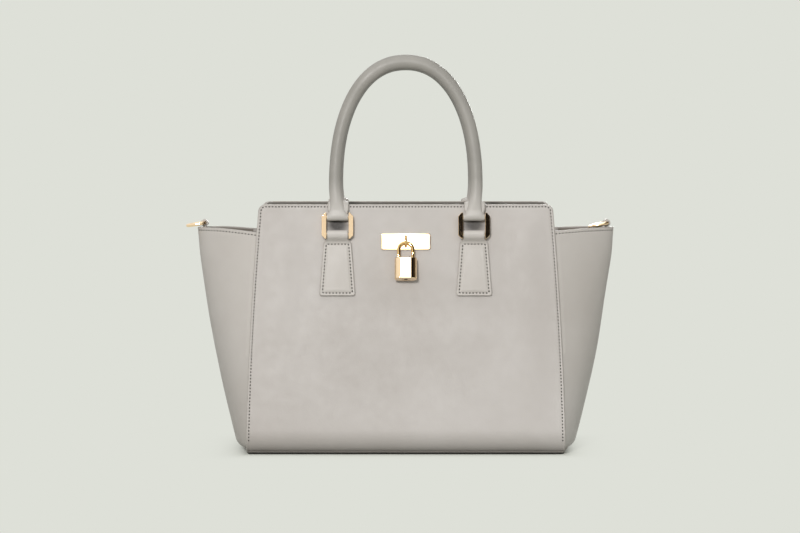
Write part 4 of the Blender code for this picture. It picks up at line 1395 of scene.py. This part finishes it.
def make_staple():
    matrix = face_frame("front", 0, PLATE_DROP)
    reach = GAP + PLATE_THICKNESS + STAPLE_REACH - STAPLE_WIRE / 2
    bend = STAPLE_HEIGHT / 2
    inner = SEAM_DEPTH + BACKING_THICKNESS
    outline = [(inner, -bend)] + [(-(reach - bend) - bend * math.sin(a), -bend * math.cos(a))
                                  for a in [math.pi * k / 20 for k in range(21)]]
    outline.append((inner, bend))
    shell = Shell()
    tube(shell, [matrix @ Vector((0, y, z)) for y, z in outline], STAPLE_WIRE / 2, 20)
    shell.piece("staple_wire", "bag", "pale_gold", [DEEP_GOLD], ["lock_staple"])


def padlock_matrix():
    """Frame on the line that the shackle hangs from, Z up along the padlock at rest."""
    wire = SHACKLE_WIRE / 2
    standoff = GAP + PLATE_THICKNESS + GAP + wire
    lift = -STAPLE_HEIGHT / 2 + STAPLE_WIRE / 2 + GAP + wire
    half = PADLOCK_THICKNESS / 2
    slant = math.hypot(SHACKLE_LENGTH, half)
    tilt = math.atan2(half, SHACKLE_LENGTH) - math.asin((standoff - GAP) / slant)
    return face_frame("front", 0, PLATE_DROP - lift, standoff) @ Matrix.Rotation(-tilt, 4, "X")


def rounded_section(half_width, half_depth, radius, arc_steps=6, crown=0.0):
    """Outline of a rounded rectangle, whose long sides may be faintly crowned."""
    points = []
    for sx, sy, first in ((1, 1, 0.0), (-1, 1, math.pi / 2), (-1, -1, math.pi), (1, -1, math.pi * 1.5)):
        for k in range(arc_steps + 1):
            a = first + math.pi / 2 * k / arc_steps
            points.append((sx * (half_width - radius) + radius * math.cos(a),
                           sy * (half_depth - radius) + radius * math.sin(a)))
        if crown and sx == sy:
            reach = half_width - radius
            for share in (0.94, 0.6, 0.3, 0.0, -0.3, -0.6, -0.94):
                points.append((sx * share * reach, sy * (half_depth + crown * (1 - share ** 2))))
    return points


def drilled(mesh, holes):
    """Mesh with round holes: each a matrix, a diameter, a depth both ways along Z, and sides."""
    maker = in_scene("making", mesh)
    helpers = []
    for matrix, diameter, depth, sides in holes:
        shape = bmesh.new()
        bmesh.ops.create_cone(shape, cap_ends=True, segments=sides, radius1=diameter / 2,
                              radius2=diameter / 2, depth=2 * depth, matrix=matrix)
        cutter = bpy.data.meshes.new("cutter")
        shape.to_mesh(cutter)
        shape.free()
        helper = in_scene("cutter", cutter)
        helpers.append(helper)
        step = maker.modifiers.new("hole", "BOOLEAN")
        step.operation = "DIFFERENCE"
        step.object = helper
        step.solver = "EXACT"
    bpy.context.view_layer.update()
    depsgraph = bpy.context.evaluated_depsgraph_get()
    made = bpy.data.meshes.new_from_object(maker.evaluated_get(depsgraph))
    for thing in helpers + [maker]:
        bpy.data.objects.remove(thing, do_unlink=True)
    return made


def make_padlock():
    matrix = padlock_matrix()
    radius = (SHACKLE_WIDTH - SHACKLE_WIRE) / 2
    bow = [Vector((radius * math.cos(a), 0, radius * math.sin(a) - radius))
           for a in [math.pi * k / 28 for k in range(29)]]
    toe = Vector((radius, 0, -SHACKLE_LENGTH - SHACKLE_TOE_DEPTH))
    heel = Vector((-radius, 0, -SHACKLE_LENGTH - SHACKLE_HEEL_DEPTH))
    shell = Shell()
    line = [toe, toe + Vector((0, 0, 0.5 * MM))] + bow + [heel + Vector((0, 0, 0.5 * MM)), heel]
    thick = SHACKLE_WIRE / 2
    sizes = [thick * 0.75, thick] + [thick] * len(bow) + [thick, thick * 0.75]
    tube(shell, [matrix @ point for point in line], sizes, 24)
    shell.piece("shackle_wire", "padlock_shackle", "pale_gold", [DEEP_GOLD], ["padlock_shackle"])

    top = matrix @ Matrix.Translation((0, 0, -SHACKLE_LENGTH))
    rim = PADLOCK_RIM
    levels = [(0.0, rim + FLAT_MARGIN)]
    levels += [(rim * (1 - math.cos(a)), rim * (1 - math.sin(a))) for a in (0.0, 0.4, 0.8, 1.2, 1.5708)]
    levels.append((rim + FLAT_MARGIN, 0.0))
    heights = [(-drop, inset) for drop, inset in levels]
    heights += [(-PADLOCK_HEIGHT + drop, inset) for drop, inset in reversed(levels)]
    shell = Shell()
    rows = []
    for z, inset in heights:
        section = rounded_section(PADLOCK_WIDTH / 2 - inset, PADLOCK_THICKNESS / 2 - inset,
                                  PADLOCK_SIDE_ROUND - inset, 12, PADLOCK_CROWN)
        rows.append([Vector((x, y, z)) for x, y in section])
    shell.loft(rows)
    bore = SHACKLE_WIRE + 2 * GAP
    floor = Matrix.Translation((0, 0, -PADLOCK_HEIGHT))
    solid = drilled(shell.mesh("padlock", 1e-7), [
        (Matrix.Translation((radius, 0, 0)), bore, SHACKLE_TOE_DEPTH + GAP, 32),
        (Matrix.Translation((-radius, 0, 0)), bore, SHACKLE_HEEL_DEPTH + GAP, 32),
        (floor, PLUG_DIAMETER + GAP, PLUG_DEPTH + GAP, 40)])
    solid.transform(top)
    place("padlock_case", solid, "padlock_body", "pale_gold", [GOLD], ["padlock_body"], 32)

    shell = Shell()
    ring = [(PLUG_DIAMETER / 2 * share, height) for share, height in
            ((0.0, PLUG_DEPTH), (1.0, PLUG_DEPTH), (1.0, 0.15 * MM), (0.95, 0.0), (0.82, 0.0),
             (0.77, 0.12 * MM), (0.0, 0.12 * MM))]
    shell.grid([[Vector((size * math.cos(a), size * math.sin(a), height)) for a in turns(40)]
                for size, height in ring], closed=True)
    key = top @ floor
    shell.points = [tuple(key @ Vector(point)) for point in shell.points]
    # The keyway is made of flat faces of painted shade on the plug's floor.
    slot = rounded_section(KEYWAY_WIDTH / 2, KEYWAY_LENGTH / 2, KEYWAY_WIDTH / 2.2, 4)
    shell.face([key @ Vector((x, y, 0.08 * MM)) for x, y in slot], 1)
    shell.face([key @ Vector((KEYWAY_ROUND * math.cos(a), 0.4 * MM + KEYWAY_ROUND * math.sin(a), 0.07 * MM))
                for a in turns(20)], 1)
    shell.piece("key_plug", "padlock_key_plug", "pale_gold", [GOLD, SHADE_LOOK], ["padlock_key_plug"])


# Side rings

def tip_spot(w):
    """Spot inside the right wing's tip, clear of its lining, at the side tab's edge."""
    half = SIDE_TAB_WIDTH / 2
    depth = WING_LINING_DEPTH + LINING + GAP
    v = half / wall_y(WING_HEIGHT, SEAM_DEPTH)
    for _ in range(8):
        spot = wing_inside(v, w, depth)
        v *= half / spot.y
    return spot


def side_ring_place():
    """Frame on the right side ring's bar, leaning as the wing's tip does."""
    top = tip_spot(2)
    low = tip_spot(2 - SIDE_TAB_DEPTH / WING_SPAN)
    lean = math.atan2(top.x - low.x, top.z - low.z)
    tip = Matrix.Translation((top.x, 0, WING_HEIGHT)) @ Matrix.Rotation(lean, 4, "Y")
    return tip @ Matrix.Translation((-SIDE_TAB_LEATHER, 0, SIDE_RING_HEIGHT)), lean


def ring_line():
    half = (SIDE_RING_WIDTH - SIDE_RING_WIRE) / 2
    corner = SIDE_RING_CORNER
    reach = SIDE_RING_REACH - SIDE_RING_WIRE / 2
    points = []
    for centre, radius, first, last, count in (
            ((corner, half - corner), corner, math.pi, math.pi / 2, 8),
            ((reach - half, 0), half, math.pi / 2, -math.pi / 2, 32),
            ((corner, corner - half), corner, -math.pi / 2, -math.pi, 8)):
        for k in range(count + 1):
            a = lerp(first, last, k / count)
            points.append(Vector((centre[0] + radius * math.cos(a), centre[1] + radius * math.sin(a), 0)))
    return points


LOOP_MOUTH = 1.05


def make_side_rings():
    spot, lean = side_ring_place()
    about = Matrix.Rotation(math.pi, 4, "Z")
    inner = SIDE_RING_WIRE / 2 + GAP
    middle = inner + SIDE_TAB_LEATHER / 2
    leg = SIDE_TAB_LEATHER / 2
    for side, turn, lie in (("left", about, LEFT_RING_DROOP),
                            ("right", Matrix(), math.pi - RIGHT_RING_DROOP)):
        matrix = turn @ spot
        edge_on = matrix @ Matrix.Rotation(math.pi / 2, 4, "Z")
        line = [(-leg, -SIDE_TAB_DEPTH), (-leg, -SIDE_TAB_DEPTH * 0.55), (-leg, -middle * 1.15)]
        for k in range(17):
            a = lerp(-math.pi / 2 - LOOP_MOUTH, -math.pi / 2 - 2 * math.pi + LOOP_MOUTH, k / 16)
            line.append((middle * math.cos(a), middle * math.sin(a)))
        line += [(leg, -middle * 1.15), (leg, -SIDE_TAB_DEPTH * 0.55), (leg, -SIDE_TAB_DEPTH)]
        shell = Shell()
        ribbon(shell, edge_on, smooth_line(line, 3), lambda share: SIDE_TAB_WIDTH / 2,
               SIDE_TAB_LEATHER, 0.5 * MM)
        label = side + "_d_ring_tab"
        shell.piece(label + "_leather", "bag", "grey_leather", [LEATHER, EDGE], [label])
        ring = matrix @ Matrix.Rotation(lie - lean, 4, "Y")
        shell = Shell()
        tube(shell, [ring @ point for point in ring_line()], SIDE_RING_WIRE / 2, 20, closed=True)
        shell.piece(side + "_d_ring_wire", side + "_d_ring", "pale_gold", [GOLD], [side + "_d_ring"])


def dress_kept_nodes():
    """Better materials for the CAD nodes that stay as they are, and soft highlights on their edges."""
    kept = {
        "front_magnetic_snap": GOLD, "back_magnetic_snap": GOLD, "lock_backing_plate": STEEL,
        "front_stiffener": BOARD, "back_stiffener": BOARD, "base_board": BOARD,
    }
    for name, look in kept.items():
        thing = nodes[name]
        thing.data.materials.clear()
        thing.data.materials.append(look)
        if look is GOLD:
            soften(thing, SNAP_SOFTENING)


# Studio

BACKGROUND = srgb(222, 224, 216)
CAMERA_PLACE = Vector((-0.0055, -3.058, 0.341))
CAMERA_PITCH = math.radians(3.108)
LENS = 142.1


def make_camera():
    data = bpy.data.cameras.new("camera")
    data.sensor_width = 36.0
    data.lens = LENS
    data.clip_end = 40.0
    camera = in_scene("camera", data)
    camera.location = CAMERA_PLACE
    camera.rotation_euler = (math.pi / 2 - CAMERA_PITCH, 0, 0)
    bpy.context.scene.camera = camera


def lamp(name, spot, target, size, power, colour=(1, 1, 1)):
    data = bpy.data.lights.new(name, "AREA")
    data.shape = "RECTANGLE"
    data.size, data.size_y = size
    data.energy = power
    data.color = colour
    made = in_scene(name, data)
    made.location = spot
    made.rotation_euler = (Vector(target) - Vector(spot)).to_track_quat("-Z", "Y").to_euler()
    made.visible_camera = False


def seen_ray(tree):
    """1 for rays that show the background itself: camera, mirror and glass rays."""
    path = tree.add("ShaderNodeLightPath").outputs
    first = tree.math("MAXIMUM", path["Is Camera Ray"], path["Is Glossy Ray"])
    return tree.math("MAXIMUM", first, path["Is Transmission Ray"])


AMBIENT_STRONG = (0.77, 0.785, 0.765, 1.0)
AMBIENT_WEAK = (0.12, 0.12, 0.118, 1.0)
AMBIENT_SIDE = (0.35, -0.937, 0.0)
AMBIENT_RISE = (-1.3, 1.0)
FLOOR_REACH = 9.0
FLOOR_DROP = 0.0002
FLOOR_FADE = 0.008
FLOOR_BOUNCE = srgb(155, 156, 150)
# Painted contact shadow on the floor under the bag: its colour, reach and soft edge
PAINTED_CONTACT_SHADOW = srgb(30, 28, 25)
CONTACT_SHADOW_REACH = (0.1470, 0.0660, 0.0)
CONTACT_SHADOW_EDGE = 0.0050
MIRRORED = srgb(238, 234, 230)
MIRRORED_HIGH = srgb(255, 254, 252)
DARK_SIDE = srgb(26, 23, 21)
DARK_END = srgb(118, 106, 88)
MIRRORED_RISE = (0.10, 0.55)
DARK_FADE = (0.5, 2.6)
DARK_START = (0.0105, 0.0130)
DARK_STOP = (3.12, 2.8)
DARK_LOW = (-0.08, 0.0)
DARK_HIGH = (0.96, 0.86)


def mirrored_studio(tree, way):
    """What polished metal shows: a pale room that grows lighter upward, with a dark right side."""
    x, y, height = tree.parts(way)
    turn = tree.math("ARCTAN2", x, tree.math("MULTIPLY", y, -1.0))
    pale = tree.mix(tree.ramp(height, *MIRRORED_RISE), MIRRORED, MIRRORED_HIGH)
    deep = tree.mix(tree.ramp(turn, *DARK_FADE), DARK_SIDE, DARK_END)
    dark = tree.ramp(turn, *DARK_START)
    for value, span in ((turn, DARK_STOP), (height, DARK_LOW), (height, DARK_HIGH)):
        dark = tree.math("MULTIPLY", dark, tree.ramp(value, *span))
    return tree.mix(dark, pale, deep)


def all_round_light(tree, way):
    """Soft light from everywhere, strongest from the front and a little from the right."""
    facing = tree.vector("DOT_PRODUCT", way, AMBIENT_SIDE)["Value"]
    return tree.mix(tree.ramp(facing, *AMBIENT_RISE), AMBIENT_WEAK, AMBIENT_STRONG)


def emptied(node_tree):
    node_tree.nodes.clear()
    return Nodes(node_tree)


def make_world():
    world = bpy.data.worlds.new("studio")
    bpy.context.scene.world = world
    world.use_nodes = True
    tree = emptied(world.node_tree)
    way = tree.add("ShaderNodeTexCoord").outputs["Generated"]
    colours = (all_round_light(tree, way), BACKGROUND, mirrored_studio(tree, way))
    light, plain, mirror = [tree.add("ShaderNodeBackground", Color=colour, Strength=1.0).outputs[0]
                            for colour in colours]
    glossy = tree.add("ShaderNodeLightPath").outputs["Is Glossy Ray"]
    shown = tree.fill("ShaderNodeMixShader", None, glossy, plain, mirror)[0]
    mixed = tree.fill("ShaderNodeMixShader", None, seen_ray(tree), light, shown)[0]
    tree.add("ShaderNodeOutputWorld", Surface=mixed)


def distance_beyond(tree, half_size):
    """How far a spot of the floor lies outside a rectangle under the bag."""
    spot = tree.add("ShaderNodeNewGeometry").outputs["Position"]
    beyond = tree.vector("SUBTRACT", tree.vector("ABSOLUTE", spot)[0], half_size)[0]
    return tree.vector("LENGTH", tree.vector("MAXIMUM", beyond, (0.0, 0.0, 0.0))[0])["Value"]


def make_floor():
    mesh = bpy.data.meshes.new("floor")
    mesh.from_pydata([(x * FLOOR_REACH, y * FLOOR_REACH, 0) for x, y in ((-1, -1), (1, -1), (1, 1), (-1, 1))],
                     [], [(0, 1, 2, 3)])
    floor = in_scene("floor", mesh)
    floor.location.z = -FLOOR_DROP
    material = bpy.data.materials.new("pale_floor")
    material.use_nodes = True
    mesh.materials.append(material)
    tree = emptied(material.node_tree)
    seen = seen_ray(tree)
    # Painted contact shadow: the floor under the bag is painted near-black for camera, mirror and glass rays.
    under = tree.ramp(distance_beyond(tree, CONTACT_SHADOW_REACH), CONTACT_SHADOW_EDGE, 0.0)
    shown = tree.mix(under, BACKGROUND, PAINTED_CONTACT_SHADOW)
    matt = tree.add("ShaderNodeBsdfDiffuse", Color=tree.mix(seen, FLOOR_BOUNCE, shown)).outputs[0]
    plain = tree.add("ShaderNodeEmission", Color=BACKGROUND, Strength=1.0).outputs[0]
    distance = distance_beyond(tree, (BASE_HALF_WIDTH, BASE_HALF_DEPTH, 0.0))
    near = tree.math("POWER", 0.5, tree.math("DIVIDE", distance, FLOOR_FADE))
    blend = tree.math("MULTIPLY", seen, tree.math("SUBTRACT", 1.0, near))
    mixed = tree.fill("ShaderNodeMixShader", None, blend, matt, plain)[0]
    tree.add("ShaderNodeOutputMaterial", Surface=mixed)


def make_lights():
    lamp("key", (-0.64, -3.28, 1.45), (0, 0, 0.14), (0.40, 0.40), 64.0, (1.0, 0.98, 0.97))
    lamp("top", (-0.2, -0.3, 2.9), (0, 0, 0.1), (1.8, 1.2), 5.0)
    lamp("back", (0.7, 3.3, 1.1), (0, 0, 0.14), (1.2, 1.2), 62.0)
    lamp("strip", (0.008, -3.35, 1.95), (0.008, 0, 0.2), (0.10, 2.6), 2.2)


bpy.context.scene.view_settings.view_transform = "Standard"
make_camera()
make_panels()
make_facings()
make_top_strips()
make_wings()
make_wing_linings()
make_base()
make_welts()
make_tabs()
make_handles()
make_handle_rings()
make_plate()
make_staple()
make_padlock()
make_side_rings()
dress_kept_nodes()
make_world()
make_floor()
make_lights()
